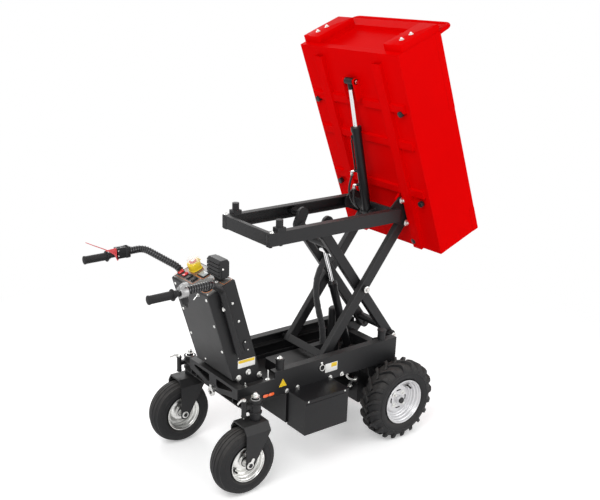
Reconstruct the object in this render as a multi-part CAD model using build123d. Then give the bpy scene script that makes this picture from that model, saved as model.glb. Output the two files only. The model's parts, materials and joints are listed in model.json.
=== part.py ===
"""Walk-behind site dumper with a scissor lift and a tipping bed, one STEP file per piece.

Millimetres. +X points to the tip end, +Y to the left and +Z up; the origin lies on the ground
under the middle of the machine. Heights are above the ground. Lengths are written from the drive
axle, and export() moves every piece by AXLE_X. The machine is drawn raised and tipped, as it rests.
"""
import os
from math import atan2, cos, degrees, hypot, radians, sin

from build123d import *

# ---- whole machine ----
AXLE_X = 481.0            # drive axle ahead of the machine's middle
CASTOR_X = -849.0         # castor swivel axis
FRAME_HALF = 200.0        # outside of the side rails
SHEET = 5.0               # rail and bracket plate
THIN = 4.0                # bed sheet
RUNNING = 0.05            # radial clearance of a pin in its bore
SOFT_GAP = 0.3            # rubber to its neighbour

# ---- drive wheels ----
DRIVE_RADIUS = 200.0
DRIVE_WIDTH = 118.0
DRIVE_GAP = 12.0          # rail to the tyre's side
DRIVE_RIM_RADIUS = 114.0
DRIVE_CROWN = 40.0        # tread and wall above the rim
DRIVE_HUB = (34.0, 52.0, 44.0)   # radius, reach inwards and outwards of the wheel's middle
AXLE_RADIUS = 15.0
AXLE_TUBE_RADIUS = 40.0

# ---- castors ----
CASTOR_RADIUS = 155.0
CASTOR_WIDTH = 98.0
CASTOR_OUT = 72.0         # rail to the swivel axis
CASTOR_TRAIL = 65.0
CASTOR_RIM_RADIUS = 87.5
CASTOR_CROWN = 30.0
CASTOR_HUB = (24.0, 48.0, 48.0)
CASTOR_AXLE_RADIUS = 10.0
FORK_TOP = 333.0
FORK_PLATE = 8.0
FORK_LEG = (56.0, 62.0)   # wheel middle to the inside and outside of a leg
FORK_SHOULDER = (22.0, 34.0)     # slope between top plate and leg, across and down
FORK_FORE, FORK_AFT = 42.0, 20.0 # top plate ahead of the swivel and behind the axle
FORK_FOOT_RADIUS = 24.0
AXLE_END = 5.0            # axle past the legs
PIVOT_TUBE = (335.0, 425.0)
PIVOT_TUBE_RADIUS = 25.0
STEM_RADIUS = 12.0
STEM_TOP = 444.0
STEM_NUT = 18.0           # radius over its corners
CAP_RADIUS = 30.0
ARM_PLATES_Z = ((367.0, 373.0), (405.0, 411.0))
LOCK_BACK = 60.0          # swivel lock behind the swivel axis
LOCK_RADIUS = 11.0
LOCK_Z = (360.0, 436.0)

# ---- chassis ----
RAIL_X = (-888.0, 46.0)
RAIL_BOTTOM = 367.0
RAIL_FLANGE = 50.0
FLANGE_LIP = 25.0         # upturned edge of the lower flange
ROLLER_RADIUS = 18.0
ROLLER_PLAY = 5.0
ROLLER_SIDE = 3.0         # roller to the web and to the channel's mouth
CHANNEL_FLANGE = 38.0
REAR_CUT_X = -692.0       # the upper channel starts ahead of this
REAR_TOP = 453.0
POST_TOP = 536.0
POST_RADIUS = 19.0
POST_CAP = (6.0, 22.0)    # cap's height and radius
POSTS_X = (-650.0, -35.0)
POST_IN = 22.0            # post's middle inside the rail's face
CROSS_X = (-894.0, -850.0)       # rear cross member
CROSS_FACE = 6.0
CROSS_LOW = (403.0, 378.0)       # its lower edge at the rails and at the middle
CROSS_DROP_Y = (60.0, 110.0)     # where the lower edge is level, and where its slope ends
WINDOW_CORNER = 5.0
CROSS_WINDOW = ((30.0, 438.0), (150.0, 438.0), (165.0, 428.0), (40.0, 398.0), (28.0, 406.0))

# ---- scissor ----
SCISSOR_FOOT = (92.0, 457.0)   # lower pivot of the inner arms, x and z
ARM_HALF = 372.0
ARM_ANGLE = 53.0
ARM_DEPTH = 50.0
ARM_WIDTH = 30.0
TUBE_CORNER = 5.0              # rounding along the arms' edges
INNER_ARM_Y = 76.0             # inside of an inner arm
ARM_GAP = 8.0
PLATE_GAP = 4.0                # arm to the plate that carries its pin
PLATE_THICK = 8.0
ARM_NOSE = 21.0                # round end at the upper pivot
ARM_TAIL = 21.0                # past the lower roller
PIN_RADIUS = 10.0
HEAD_RADIUS = 15.0
EAR_RISE = 48.0                # upper roller above the arm's end
EAR_RADIUS = 30.0
LIFT_TRAVEL = 47.0             # degrees the arms fold

# ---- platform ----
DECK_RISE = 78.0          # rails' top above the outer arms' upper pivot
DECK_DEPTH = 60.0
DECK_HALF = 184.0
DECK_FLANGE = 35.0
DECK_X = (-725.0, 30.0)
DECK_BAR = (20.0, 16.0)   # thickness of the rear and front bars
STOP_X = -664.0
STOP_IN = 17.0            # stop's middle inside the rail's face
STOP_BASE = (22.0, 18.0)  # half length and height of its base
STOP_RADIUS = 16.0
BED_CLEAR = 5.0

# ---- bed ----
HINGE_FROM_PIVOT = (-38.0, 114.0)
TIP_ANGLE = 68.6
BED_FLOOR = 20.0          # floor underside above the hinge line
BED_X = (-730.0, 267.0)
BED_HALF = 327.0
BED_RIM = 276.0
RIB_Y = (168.0, 221.0)
RIB_DEPTH = 20.0
GUSSET_Y = (132.0, 144.0)
GUSSET_HALF = 34.0        # its half length at the floor
GUSSET_EYE = 17.0
CROSS_RIB_BOTTOM = 6.0
CROSS_RIB_HALF = 18.0
CROSS_RIB_INSET = 20.0
RIM_FOLD = 20.0           # width of the rim's fold, inwards
STRIP = (34.0, 1.5)       # stiffening strip under the rim, width and thickness
STRIPS_X = ((-730.0, -372.0), (150.0, 267.0))
GATE_NOTCH = (150.0, 10.0)       # half length and height of the cut under the gate
CORNER = 110.0            # width of the rear corner plates
REAR_INSET = 18.0         # rear sheet behind the corner plates
REAR_SILL = 30.0          # square tube under the rear sheet
RIB_START = -688.0
CROSS_RIBS_X = (-482.0, -301.0, -53.0)
HANDLE_RISE = 88.0        # tube loop above the rim
HANDLE_IN = 25.0          # loop's ends inside the bed's sides
HANDLE_TUBE = 10.0
HANDLE_FLARE = 1.04       # loop is wider at the rim
HANDLE_SLOT = 14.0

# ---- cylinders ----
LIFT_BASE = (-92.0, 398.0)
LIFT_EYE = 600.0          # along the inner arms from their lower pivot
LIFT_BODY = (20.0, 380.0) # radius, base pin to gland
LIFT_ROD_RADIUS = 8.5
TIP_BASE_FROM_HINGE = (-66.0, -82.0)
TIP_EYE = (-588.7, 0.0)   # bed frame, x and z
TIP_BODY = (22.0, 429.0)
TIP_ROD_RADIUS = 11.5
EYE_PIN_RADIUS = 8.0
EYE_RADIUS = 15.0         # rod's cross head, free between its lugs
BASE_EYE = (18.0, 20.0)   # barrel's base eye, radius and half width
GLAND = (3.0, 20.0)       # gland ring outside the barrel, and its length
ROD_SUNK = 60.0           # rod left inside the barrel
LUG_RADIUS = 16.0
LIFT_HEAD, TIP_HEAD = 20.0, 26.0 # half widths of the two cross heads
LIFT_LUGS_Y = (24.0, 32.0)
TIP_LUGS_Y = (26.0, 34.0)
BRACKET_LUGS_Y = (32.0, 40.0)
BRACKET_HALF = 44.0
LUG_PIN = 4.0             # pin's end outside its lug
BASE_PIN_HALF = 36.0

# ---- tow eye ----
TOW_Z = 366.0
TOW_THICK = 12.0
TOW_RADIUS, TOW_HOLE = 22.0, 12.0

# ---- console and handlebars ----
CONSOLE_HALF = 148.0
CONSOLE_SIDE = ((-1015.0, 893.0), (-880.0, 947.0), (-731.0, 462.0), (-883.0, 473.0))
CONSOLE_FOLD = 6.0        # bend radius along the console's top edges
CONSOLE_FOOT_X = (-846.0, -731.0, -715.0)
CONSOLE_FLANGE = 15.0     # foot's flange inside the rail's face
BAR_RADIUS = 13.5
BAR_BEND = 60.0
BAR_BOLTS = ((-902.0, 735.0), (-940.0, 831.0))
BAR_BOSS_RADIUS = 9.0
BAR_BOSS_OUT = 165.0
BAR_PATH = ((-862.0, 163.0, 600.0), (-958.0, 168.0, 917.0), (-1081.0, 283.0, 1001.0),
            (-1365.0, 285.0, 995.0))
GRIP_LENGTH = 116.0
GRIP_RADIUS = 17.0
GRIP_END = (-1371.0, 285.0, 995.3)
STOP_PLACE = (100.0, 95.0)       # emergency stop, up the panel and across
STOP_BOX = (60.0, 28.0)   # its box's sides and height
STOP_BUTTON = (17.0, 12.0, 42.0) # button's radius, stem radius and top
LAMP_X = (-950.0, -895.0)
LAMP_Y = (-130.0, -40.0)
LAMP_Z = (950.0, 1032.0)
LAMP_CORNER = 10.0
LAMP_LENS = (7.0, 4.0)    # rim's width round the lens, and how deep the lens sits
LAMP_FINS = (4, 3.0, 8.0) # slots across the back, their width and depth
LAMP_FOOT = (100.0, -85.0)

# ---- battery and drive ----
BATTERY_X = (-616.0, -368.0)
BATTERY_Z = (205.0, 364.0)
BATTERY_OUT = 130.0       # box beyond the rail
BATTERY_LID = (2.0, 12.0) # lid's overhang and height
CASE_X = (-625.0, -368.0)
CASE_LIFT = 10.0          # case above the box's bottom
GEARBOX_X = (-95.0, 85.0)
GEARBOX_HALF = 95.0
GEARBOX_Z = (120.0, 300.0)
GEARBOX_CORNER = 14.0
MOTOR = (-230.0, 60.0, 210.0)    # drive motor's end, radius and height
HANGER_IN = (22.0, 14.0)  # hanger plates inside the rail's face
PUMP_X = (-340.0, -125.0)
PUMP_Y = (32.0, 68.0)
PUMP_TOP = 428.0
PUMP_MOTOR = (-157.0, 51.5, 19.0, 600.0)   # x, y, radius and top
TANK_X = (-560.0, -340.0)
TANK_HALF = 60.0
TANK_TOP = 425.0
TANK_CORNER = 8.0

# ---- hose sleeve between the pump block and the left inner arm ----
SLEEVE_RADIUS = 16.0
CLIP_ALONG = 506.0        # clip on the inner arm, from its lower pivot
CLIP_Z = (-24.0, -7.0)    # across the arm
CLIP_HALF = 12.0
SLEEVE_PATH = ((-212.0, 50.0, 428.0), (-212.0, 50.0, 492.0), (-236.0, 50.0, 566.0), (-262.0, 51.0, 662.0),
               (-268.0, 53.0, 742.0), (-250.0, 55.5, 808.0), (-212.0, 58.0, 862.0))

# ---- worked out ----
DRIVE_TRACK_HALF = FRAME_HALF + DRIVE_GAP + DRIVE_WIDTH / 2
CASTOR_TRACK_HALF = FRAME_HALF + CASTOR_OUT
POST_Y = FRAME_HALF - POST_IN
RAIL_TOP = SCISSOR_FOOT[1] + ROLLER_RADIUS + ROLLER_PLAY + SHEET
SHELF_TOP = SCISSOR_FOOT[1] - ROLLER_RADIUS - ROLLER_PLAY
ARM_RUN = ARM_HALF * cos(radians(ARM_ANGLE))
ARM_LIFT = ARM_HALF * sin(radians(ARM_ANGLE))
MIDDLE = (SCISSOR_FOOT[0] - ARM_RUN, SCISSOR_FOOT[1] + ARM_LIFT)
HEAD_PIVOT = (SCISSOR_FOOT[0], SCISSOR_FOOT[1] + 2 * ARM_LIFT)
LOW_ROLLER = (SCISSOR_FOOT[0] - 2 * ARM_RUN, SCISSOR_FOOT[1])
INNER_END = (LOW_ROLLER[0], HEAD_PIVOT[1])
EAR_LEAN = LIFT_TRAVEL / 2
EAR_ROLLER = (INNER_END[0] + EAR_RISE * sin(radians(EAR_LEAN)) / cos(radians(EAR_LEAN)),
              INNER_END[1] + EAR_RISE)
INNER_ARM = (INNER_ARM_Y, INNER_ARM_Y + ARM_WIDTH)
OUTER_ARM = (INNER_ARM[1] + ARM_GAP, INNER_ARM[1] + ARM_GAP + ARM_WIDTH)
PIVOT_PLATE = (OUTER_ARM[1] + PLATE_GAP, OUTER_ARM[1] + PLATE_GAP + PLATE_THICK)
FOOT_PLATE = (INNER_ARM[1] + PLATE_GAP, INNER_ARM[1] + PLATE_GAP + PLATE_THICK)
DECK_TOP = HEAD_PIVOT[1] + DECK_RISE
DECK_BOTTOM = DECK_TOP - DECK_DEPTH
STOP_Y = DECK_HALF - STOP_IN
HINGE = (HEAD_PIVOT[0] + HINGE_FROM_PIVOT[0], HEAD_PIVOT[1] + HINGE_FROM_PIVOT[1])
TIP_BASE = (HINGE[0] + TIP_BASE_FROM_HINGE[0], HINGE[1] + TIP_BASE_FROM_HINGE[1])
HANDLE_HALF = BED_HALF - HANDLE_IN


# ---- small helpers ----
def block(x, y, z):
    """Box between two values on each axis."""
    spans = [(min(pair), max(pair)) for pair in (x, y, z)]
    return Pos(*[(a + b) / 2 for a, b in spans]) * Box(*[b - a for a, b in spans])


def rod_y(place, y, radius):
    """Cylinder across the machine at (x, z) between two values of y."""
    return Pos(place[0], (y[0] + y[1]) / 2, place[1]) * Rot(90, 0, 0) * Cylinder(radius, abs(y[1] - y[0]))


def rod_z(place, z, radius):
    """Upright cylinder at (x, y) between two heights."""
    return Pos(place[0], place[1], (z[0] + z[1]) / 2) * Cylinder(radius, abs(z[1] - z[0]))


def outline_face(outline, corner):
    """Flat face on an outline, its corners rounded where a radius is given."""
    face = make_face(Polyline(*outline, close=True))
    return fillet(face.vertices(), corner) if corner else face


def plate_y(outline, y, corner=0.0):
    """Outline of (x, z) points made into a plate between two values of y."""
    face = Plane.XZ * outline_face(outline, corner)
    return Pos(0, max(y), 0) * extrude(face, amount=abs(y[1] - y[0]), dir=(0, -1, 0))


def plate_x(outline, x, corner=0.0):
    """Outline of (y, z) points made into a plate between two values of x."""
    face = Plane.YZ * outline_face(outline, corner)
    return Pos(min(x), 0, 0) * extrude(face, amount=abs(x[1] - x[0]), dir=(1, 0, 0))


def wrapped_plate(circles, y):
    """Plate whose outline is a belt round circles given as ((x, z), radius), between two values of y."""
    rims = [edge for (x, z), radius in circles for edge in (Pos(x, z) * Circle(radius)).edges()]
    face = Plane.XZ * make_hull(rims)
    return Pos(0, max(y), 0) * extrude(face, amount=abs(y[1] - y[0]), dir=(0, -1, 0))


def tube_bar(x, y, z):
    """Square tube along X with rounded long edges."""
    bar = block(x, y, z)
    return fillet(bar.edges().filter_by(Axis.X), TUBE_CORNER)


def spin_y(outline):
    """Outline of (radius, y) points turned about the Y axis."""
    face = make_face(Polyline(*outline, close=True))
    return revolve(face, Axis.Y)


def along(start, end):
    """Place whose local X runs from one (x, z) point to another."""
    angle = degrees(atan2(end[1] - start[1], end[0] - start[0]))
    return Pos(start[0], 0, start[1]) * Rot(0, -angle, 0)


def link(start, end, radius, y):
    """Flat link with round ends at two (x, z) points."""
    span = hypot(end[0] - start[0], end[1] - start[1])
    bar = along(start, end) * block((0, span), y, (-radius, radius))
    return bar + rod_y(start, y, radius) + rod_y(end, y, radius)


def mirrored(shape):
    return mirror(shape, Plane.XZ)


def pair(name, shape):
    """Left piece and its mirror image on the right."""
    return {name + "_l": shape, name + "_r": mirrored(shape)}


# ---- wheels ----
def tyre(radius, width, rim_radius, crown):
    """Tyre ring with rounded shoulders, in its own place at the origin."""
    half = width / 2
    seat = rim_radius - crown * 0.35
    right = [(seat, half * 0.62), (rim_radius + crown * 0.2, half * 0.92), (rim_radius + crown * 0.9, half),
             (radius - crown * 0.7, half * 0.94), (radius, half * 0.72)]
    left = [(r, -y) for r, y in reversed(right)]
    return spin_y(right + left)


def rim(rim_radius, width, crown, hub, bore):
    """Pressed rim: barrel with two flanges, a dished disc and a hub; the dish faces +Y."""
    half = width / 2
    hub_radius, hub_back, hub_front = hub
    seat = rim_radius - crown * 0.35 - SOFT_GAP
    barrel = spin_y([(seat - THIN, -half * 0.66), (seat, -half * 0.66), (seat, half * 0.66),
                     (seat - THIN, half * 0.66)])
    for side in (-1, 1):
        barrel += spin_y([(seat - THIN, side * half * 0.60), (seat - THIN, side * half * 0.66),
                          (rim_radius - 3, side * half * 0.97), (rim_radius, side * half * 0.97),
                          (rim_radius - 1, side * half * 0.93), (seat, side * half * 0.66)])
    hole = bore + RUNNING
    disc = spin_y([(hole, half * 0.18), (hub_radius + 12, half * 0.18), (hub_radius + 26, half * 0.42),
                   (seat - 2, half * 0.10), (seat - 2, half * 0.02), (hub_radius + 26, half * 0.32),
                   (hub_radius + 12, half * 0.08), (hole, half * 0.08)])
    boss = spin_y([(hole, -hub_back), (hub_radius, -hub_back), (hub_radius, hub_front), (hole, hub_front)])
    return barrel + disc + boss


def wheel_pair(name, place, radius, width, rim_radius, crown, hub, bore):
    """Left and right tyre and rim of one axle."""
    pieces = pair(name + "_tyre", place * tyre(radius, width, rim_radius, crown))
    pieces.update(pair(name + "_rim", place * rim(rim_radius, width, crown, hub, bore)))
    return pieces


def drive_wheel():
    """Lugged tyre on a stepped silver rim; the stub axle belongs to the drive unit."""
    place = Pos(0, DRIVE_TRACK_HALF, DRIVE_RADIUS)
    return wheel_pair("drive", place, DRIVE_RADIUS, DRIVE_WIDTH, DRIVE_RIM_RADIUS, DRIVE_CROWN, DRIVE_HUB,
                      AXLE_RADIUS)


def castor_wheel():
    """Ribbed tyre on a zinc rim, turning on the fork's axle."""
    place = Pos(CASTOR_X - CASTOR_TRAIL, CASTOR_TRACK_HALF, CASTOR_RADIUS)
    return wheel_pair("castor", place, CASTOR_RADIUS, CASTOR_WIDTH, CASTOR_RIM_RADIUS, CASTOR_CROWN, CASTOR_HUB,
                      CASTOR_AXLE_RADIUS)


def castor_fork():
    """Bent-plate fork with sloping shoulders and tapered legs, the wheel's axle and the swivel stem."""
    middle, (leg_in, leg_out) = CASTOR_TRACK_HALF, FORK_LEG
    axle_x = CASTOR_X - CASTOR_TRAIL
    x = (axle_x - FORK_AFT, CASTOR_X + FORK_FORE)
    across, down = FORK_SHOULDER
    skin = leg_out - leg_in
    bend = [(leg_out, 0), (leg_out, FORK_TOP - down), (leg_out - across, FORK_TOP)]
    inner = [(leg_out - across - skin / 2, FORK_TOP - FORK_PLATE), (leg_in, FORK_TOP - down - FORK_PLATE / 2),
             (leg_in, 0)]
    arch = plate_x([(middle + y, z) for y, z in bend] + [(middle - y, z) for y, z in reversed(bend)], x)
    arch -= plate_x([(middle + y, z) for y, z in inner] + [(middle - y, z) for y, z in reversed(inner)], x)
    foot = CASTOR_RADIUS - 8
    leg = [(x[0], FORK_TOP + 1), (x[1], FORK_TOP + 1), (x[1], FORK_TOP - 40), (axle_x + 22, foot),
           (axle_x - 22, foot)]
    side = (middle - leg_out, middle + leg_out)
    fork = arch & (plate_y(leg, side) + rod_y((axle_x, CASTOR_RADIUS), side, FORK_FOOT_RADIUS))
    fork += rod_y((axle_x, CASTOR_RADIUS), (side[0] - AXLE_END, side[1] + AXLE_END), CASTOR_AXLE_RADIUS)
    fork += rod_z((CASTOR_X, middle), (FORK_TOP - 4, STEM_TOP), STEM_RADIUS)
    cap = (PIVOT_TUBE[1] + 0.5, PIVOT_TUBE[1] + 4)
    fork += rod_z((CASTOR_X, middle), cap, CAP_RADIUS)
    fork += Pos(CASTOR_X, middle, cap[1]) * extrude(RegularPolygon(STEM_NUT, 6), amount=13)
    return pair("castor_fork", fork)


# ---- chassis ----
def side_rail():
    """Folded rail: box flange below, roller channel above, two buffer posts and the scissor's foot."""
    outer, inner = FRAME_HALF, FRAME_HALF - RAIL_FLANGE
    channel = FRAME_HALF - CHANNEL_FLANGE
    rail = block(RAIL_X, (outer - SHEET, outer), (RAIL_BOTTOM, RAIL_TOP))
    rail += block(RAIL_X, (inner, outer), (RAIL_BOTTOM, RAIL_BOTTOM + SHEET))
    rail += block(RAIL_X, (inner, inner + SHEET), (RAIL_BOTTOM, RAIL_BOTTOM + FLANGE_LIP))
    for top in (SHELF_TOP, RAIL_TOP):
        rail += block(RAIL_X, (channel, outer), (top - SHEET, top))
    rail -= block((RAIL_X[0] - 1, REAR_CUT_X), (channel - 1, outer + 1), (REAR_TOP, RAIL_TOP + 1))
    for x in POSTS_X:
        rail += rod_z((x, POST_Y), (RAIL_TOP, POST_TOP), POST_RADIUS)
        rail += rod_z((x, POST_Y), (POST_TOP - POST_CAP[0], POST_TOP), POST_CAP[1])
    x, z = SCISSOR_FOOT
    foot = [(-30, RAIL_BOTTOM + 4), (RAIL_X[1], RAIL_BOTTOM + 4), (x + 20, z - 14), (x, z), (-30, RAIL_TOP - 20)]
    rail += plate_y(foot, FOOT_PLATE) + rod_y(SCISSOR_FOOT, FOOT_PLATE, ARM_DEPTH / 2)
    rail += block((RAIL_X[1] - SHEET, RAIL_X[1]), (FOOT_PLATE[0], outer), (RAIL_BOTTOM, RAIL_TOP))
    head_end = FOOT_PLATE[1] + 12
    rail += rod_y(SCISSOR_FOOT, (INNER_ARM[0] - PLATE_GAP, head_end), PIN_RADIUS)
    rail += rod_y(SCISSOR_FOOT, (FOOT_PLATE[1], head_end), HEAD_RADIUS)
    return pair("side_rail", rail)


def rear_crossmember():
    """Channel across the operator's end, its bowed face pierced by two long windows."""
    half, (end_z, middle_z), (level_y, slope_y) = FRAME_HALF, CROSS_LOW, CROSS_DROP_Y
    right = [(half, REAR_TOP), (half, end_z), (slope_y, middle_z + 12), (level_y, middle_z)]
    outline = right + [(-y, z) for y, z in reversed(right)]
    x = (CROSS_X[0], CROSS_X[0] + CROSS_FACE)
    face = plate_x(outline, x)
    for side in (-1, 1):
        window = [(side * y, z) for y, z in CROSS_WINDOW]
        face -= plate_x(window, (x[0] - 1, x[1] + 1), WINDOW_CORNER)
    top = block((x[1], CROSS_X[1]), (SHEET - half, half - SHEET), (REAR_TOP - SHEET, REAR_TOP))
    return {"rear_crossmember": face + top}


def floor_pan():
    """Pan between the rails with a front cross member and the lift cylinder's two lugs."""
    inner = FRAME_HALF - RAIL_FLANGE
    beam = FOOT_PLATE[0] - PLATE_GAP - 1
    pan = block((RAIL_X[0], RAIL_X[1] - SHEET), (-inner, inner), (RAIL_BOTTOM, RAIL_BOTTOM + THIN))
    pan += block((-12, 34), (-beam, beam), (RAIL_BOTTOM, PUMP_TOP))
    x, z = LIFT_BASE
    for side in (-1, 1):
        y = (side * LIFT_LUGS_Y[0], side * LIFT_LUGS_Y[1])
        pan += plate_y([(x - 30, RAIL_BOTTOM), (x + 45, RAIL_BOTTOM), (x + 14, z + 6), (x - 14, z + 6)], y)
        pan += rod_y(LIFT_BASE, y, LUG_RADIUS)
    pan += rod_y(LIFT_BASE, (-BASE_PIN_HALF, BASE_PIN_HALF), PIN_RADIUS)
    return {"floor_pan": pan}


def castor_housing():
    """Upright swivel tube held out from the rail by two plates, with the swivel lock behind it."""
    y = CASTOR_TRACK_HALF
    housing = rod_z((CASTOR_X, y), PIVOT_TUBE, PIVOT_TUBE_RADIUS)
    housing += rod_z((CASTOR_X - LOCK_BACK, y), LOCK_Z, LOCK_RADIUS)
    for z in ARM_PLATES_Z:
        housing += block((CASTOR_X - 36, CASTOR_X + 36), (FRAME_HALF, y - 14), z)
        housing += rod_z((CASTOR_X, y), z, PIVOT_TUBE_RADIUS + 5)
    housing += block((CASTOR_X - LOCK_BACK, CASTOR_X), (y - 8, y + 8), (392, ARM_PLATES_Z[1][1]))
    housing -= rod_z((CASTOR_X, y), (PIVOT_TUBE[0] - 1, PIVOT_TUBE[1] + 1), STEM_RADIUS + RUNNING)
    return pair("castor_housing", housing)


def battery_box():
    """Battery case under the pan with the box that stands out on the right."""
    overhang, lid_height = BATTERY_LID
    out = -FRAME_HALF - BATTERY_OUT
    case = block(CASE_X, (-FRAME_HALF, FRAME_HALF), (BATTERY_Z[0] + CASE_LIFT, RAIL_BOTTOM))
    box = block(BATTERY_X, (out, -FRAME_HALF), BATTERY_Z)
    lid = block((BATTERY_X[0] - overhang, BATTERY_X[1] + overhang), (out - overhang, -FRAME_HALF),
                (BATTERY_Z[1], BATTERY_Z[1] + lid_height))
    return {"battery_box": case + box + lid}


def drive_unit():
    """Axle tube, gearbox and motor as one heavy piece, hung from the rails by two plates."""
    centre = (0.0, DRIVE_RADIUS)
    inner_face = DRIVE_TRACK_HALF - DRIVE_HUB[1]
    unit = block(GEARBOX_X, (-GEARBOX_HALF, GEARBOX_HALF), GEARBOX_Z)
    unit = fillet(unit.edges().filter_by(Axis.Y), GEARBOX_CORNER)
    unit += rod_y(centre, (6 - inner_face, inner_face - 6), AXLE_TUBE_RADIUS)
    motor_end, motor_radius, motor_z = MOTOR
    reach = GEARBOX_X[0] - motor_end
    unit += Pos(motor_end + reach / 2, 0, motor_z) * Rot(0, 90, 0) * Cylinder(motor_radius, reach)
    outer, inner = FRAME_HALF - HANGER_IN[0], FRAME_HALF - HANGER_IN[1]
    for side in (-1, 1):
        hanger = [(-120, RAIL_BOTTOM), (RAIL_X[1], RAIL_BOTTOM), (40, 150), (-60, 150)]
        unit += plate_y(hanger, (side * outer, side * inner))
        unit += rod_y(centre, (side * (inner_face - 6), side * (DRIVE_TRACK_HALF + 40)), AXLE_RADIUS)
    return {"drive_unit": unit}


def hydraulic_pack():
    """Pump block, tank and upright motor standing on the pan, below the sweep of the arms' cross tube."""
    foot = RAIL_BOTTOM + THIN
    pack = block(PUMP_X, PUMP_Y, (foot, PUMP_TOP))
    x, y, radius, top = PUMP_MOTOR
    motor = rod_z((x, y), (PUMP_TOP - 1, top), radius)
    pack += fillet(motor.edges().sort_by(Axis.Z)[-1], radius / 3)
    tank = block(TANK_X, (-TANK_HALF, TANK_HALF), (foot, TANK_TOP))
    pack += fillet(tank.edges().filter_by(Axis.Z), TANK_CORNER)
    return {"hydraulic_pack": pack}


def hose_sleeve():
    """Fabric sleeve over the hoses, standing on the pump block and held at the left inner arm."""
    points = [Vector(*p) for p in SLEEVE_PATH]
    runs = [b - a for a, b in zip(points, points[1:])]
    radii = []
    for before, after in zip(runs, runs[1:]):
        half_turn = radians(before.get_angle(after)) / 2
        radii.append(0.45 * min(before.length, after.length) / (sin(half_turn) / cos(half_turn)))
    print("sleeve bend radii", [round(radius) for radius in radii])
    path = FilletPolyline(*points, radius=radii)
    section = Plane(origin=points[0], z_dir=runs[0]) * Circle(SLEEVE_RADIUS)
    return {"hose_sleeve": sweep(section, path=path)}


def tow_eye():
    """Round eye welded under the middle of the rear cross member, its hole running fore and aft."""
    x = (CROSS_X[0] - TOW_THICK, CROSS_X[0])
    middle = sum(x) / 2
    eye = Pos(middle, 0, TOW_Z) * Rot(0, 90, 0) * Cylinder(TOW_RADIUS, TOW_THICK)
    eye += block(x, (-8, 8), (TOW_Z, 400))
    eye -= Pos(middle, 0, TOW_Z) * Rot(0, 90, 0) * Cylinder(TOW_HOLE, TOW_THICK + 2)
    return {"tow_eye": eye}


# ---- console and handlebars ----
def console():
    """Folded sheet console, closed, leaning back over a bolted foot."""
    shell = plate_y(CONSOLE_SIDE, (-CONSOLE_HALF, CONSOLE_HALF))
    top_edges = shell.edges().filter_by(Axis.Y).sort_by(Axis.Z)[-2:]
    shell = fillet(top_edges, CONSOLE_FOLD)
    back, front, toe = CONSOLE_FOOT_X
    foot = [(back, 475), (front, 462), (toe, SHELF_TOP), (back, SHELF_TOP)]
    for side in (-1, 1):
        shell += plate_y(foot, (side * (CONSOLE_HALF - SHEET), side * CONSOLE_HALF))
        shell += block((back, toe), (side * (CONSOLE_HALF - SHEET), side * (FRAME_HALF - CONSOLE_FLANGE)),
                       (SHELF_TOP, SHELF_TOP + SHEET))
    return {"console": shell}


def on_panel(place, up):
    """Place on the console's sloping top: (distance up the slope, y), and height above it."""
    (x0, z0), (x1, z1) = CONSOLE_SIDE[:2]
    run, y = place
    span = hypot(x1 - x0, z1 - z0)
    ux, uz = (x1 - x0) / span, (z1 - z0) / span
    angle = degrees(atan2(uz, ux))
    return Pos(x0 + ux * run - uz * up, y, z0 + uz * run + ux * up) * Rot(0, -angle, 0)


def emergency_stop():
    """Box with rounded edges and its mushroom button."""
    side, height = STOP_BOX
    radius, stem, top = STOP_BUTTON
    box = Box(side, side, height)
    box = fillet(box.edges().filter_by(Axis.Z) + box.faces().sort_by(Axis.Z)[-1].edges(), 4)
    head = Pos(0, 0, top - 4) * Cylinder(radius, 8)
    head = fillet(head.edges().sort_by(Axis.Z)[-1], 3)
    button = Pos(0, 0, (height + top) / 2 - 2) * Cylinder(stem, top - height) + head
    return {"emergency_stop": on_panel(STOP_PLACE, height / 2) * box + on_panel(STOP_PLACE, 0) * button}


def headlamp():
    """Work lamp with a sunk lens, cooling slots across its back, and a bent foot on the console's top."""
    lamp = block(LAMP_X, LAMP_Y, LAMP_Z)
    lamp = chamfer(lamp.edges().filter_by(Axis.Y), LAMP_CORNER)
    edge, sunk = LAMP_LENS
    lamp -= block((LAMP_X[1] - sunk, LAMP_X[1] + 1), (LAMP_Y[0] + edge, LAMP_Y[1] - edge),
                  (LAMP_Z[0] + LAMP_CORNER, LAMP_Z[1] - LAMP_CORNER))
    slots, width, depth = LAMP_FINS
    pitch = (LAMP_Z[1] - LAMP_Z[0]) / (slots + 1)
    for k in range(slots):
        z = LAMP_Z[0] + pitch * (k + 1)
        lamp -= block((LAMP_X[0] - 1, LAMP_X[0] + depth), (LAMP_Y[0] - 1, LAMP_Y[1] + 1),
                      (z - width / 2, z + width / 2))
    foot = on_panel(LAMP_FOOT, 13) * Box(16, 20, 26)
    return {"headlamp": lamp + foot}


def handlebar():
    """Bent tube bolted to the console's side, with the grip at its end."""
    points = [Vector(*p) for p in BAR_PATH]
    path = FilletPolyline(*points, radius=BAR_BEND)
    section = Plane(origin=points[0], z_dir=points[1] - points[0]) * Circle(BAR_RADIUS)
    bar = sweep(section, path=path)
    for place in BAR_BOLTS:
        bar += rod_y(place, (CONSOLE_HALF, BAR_BOSS_OUT), BAR_BOSS_RADIUS)
    x, y, z = GRIP_END
    grip = Pos(x + GRIP_LENGTH / 2, y, z) * Rot(0, 90, 0) * Cylinder(GRIP_RADIUS, GRIP_LENGTH)
    grip -= bar
    pieces = pair("handlebar", bar)
    pieces.update(pair("grip", grip))
    return pieces


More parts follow.
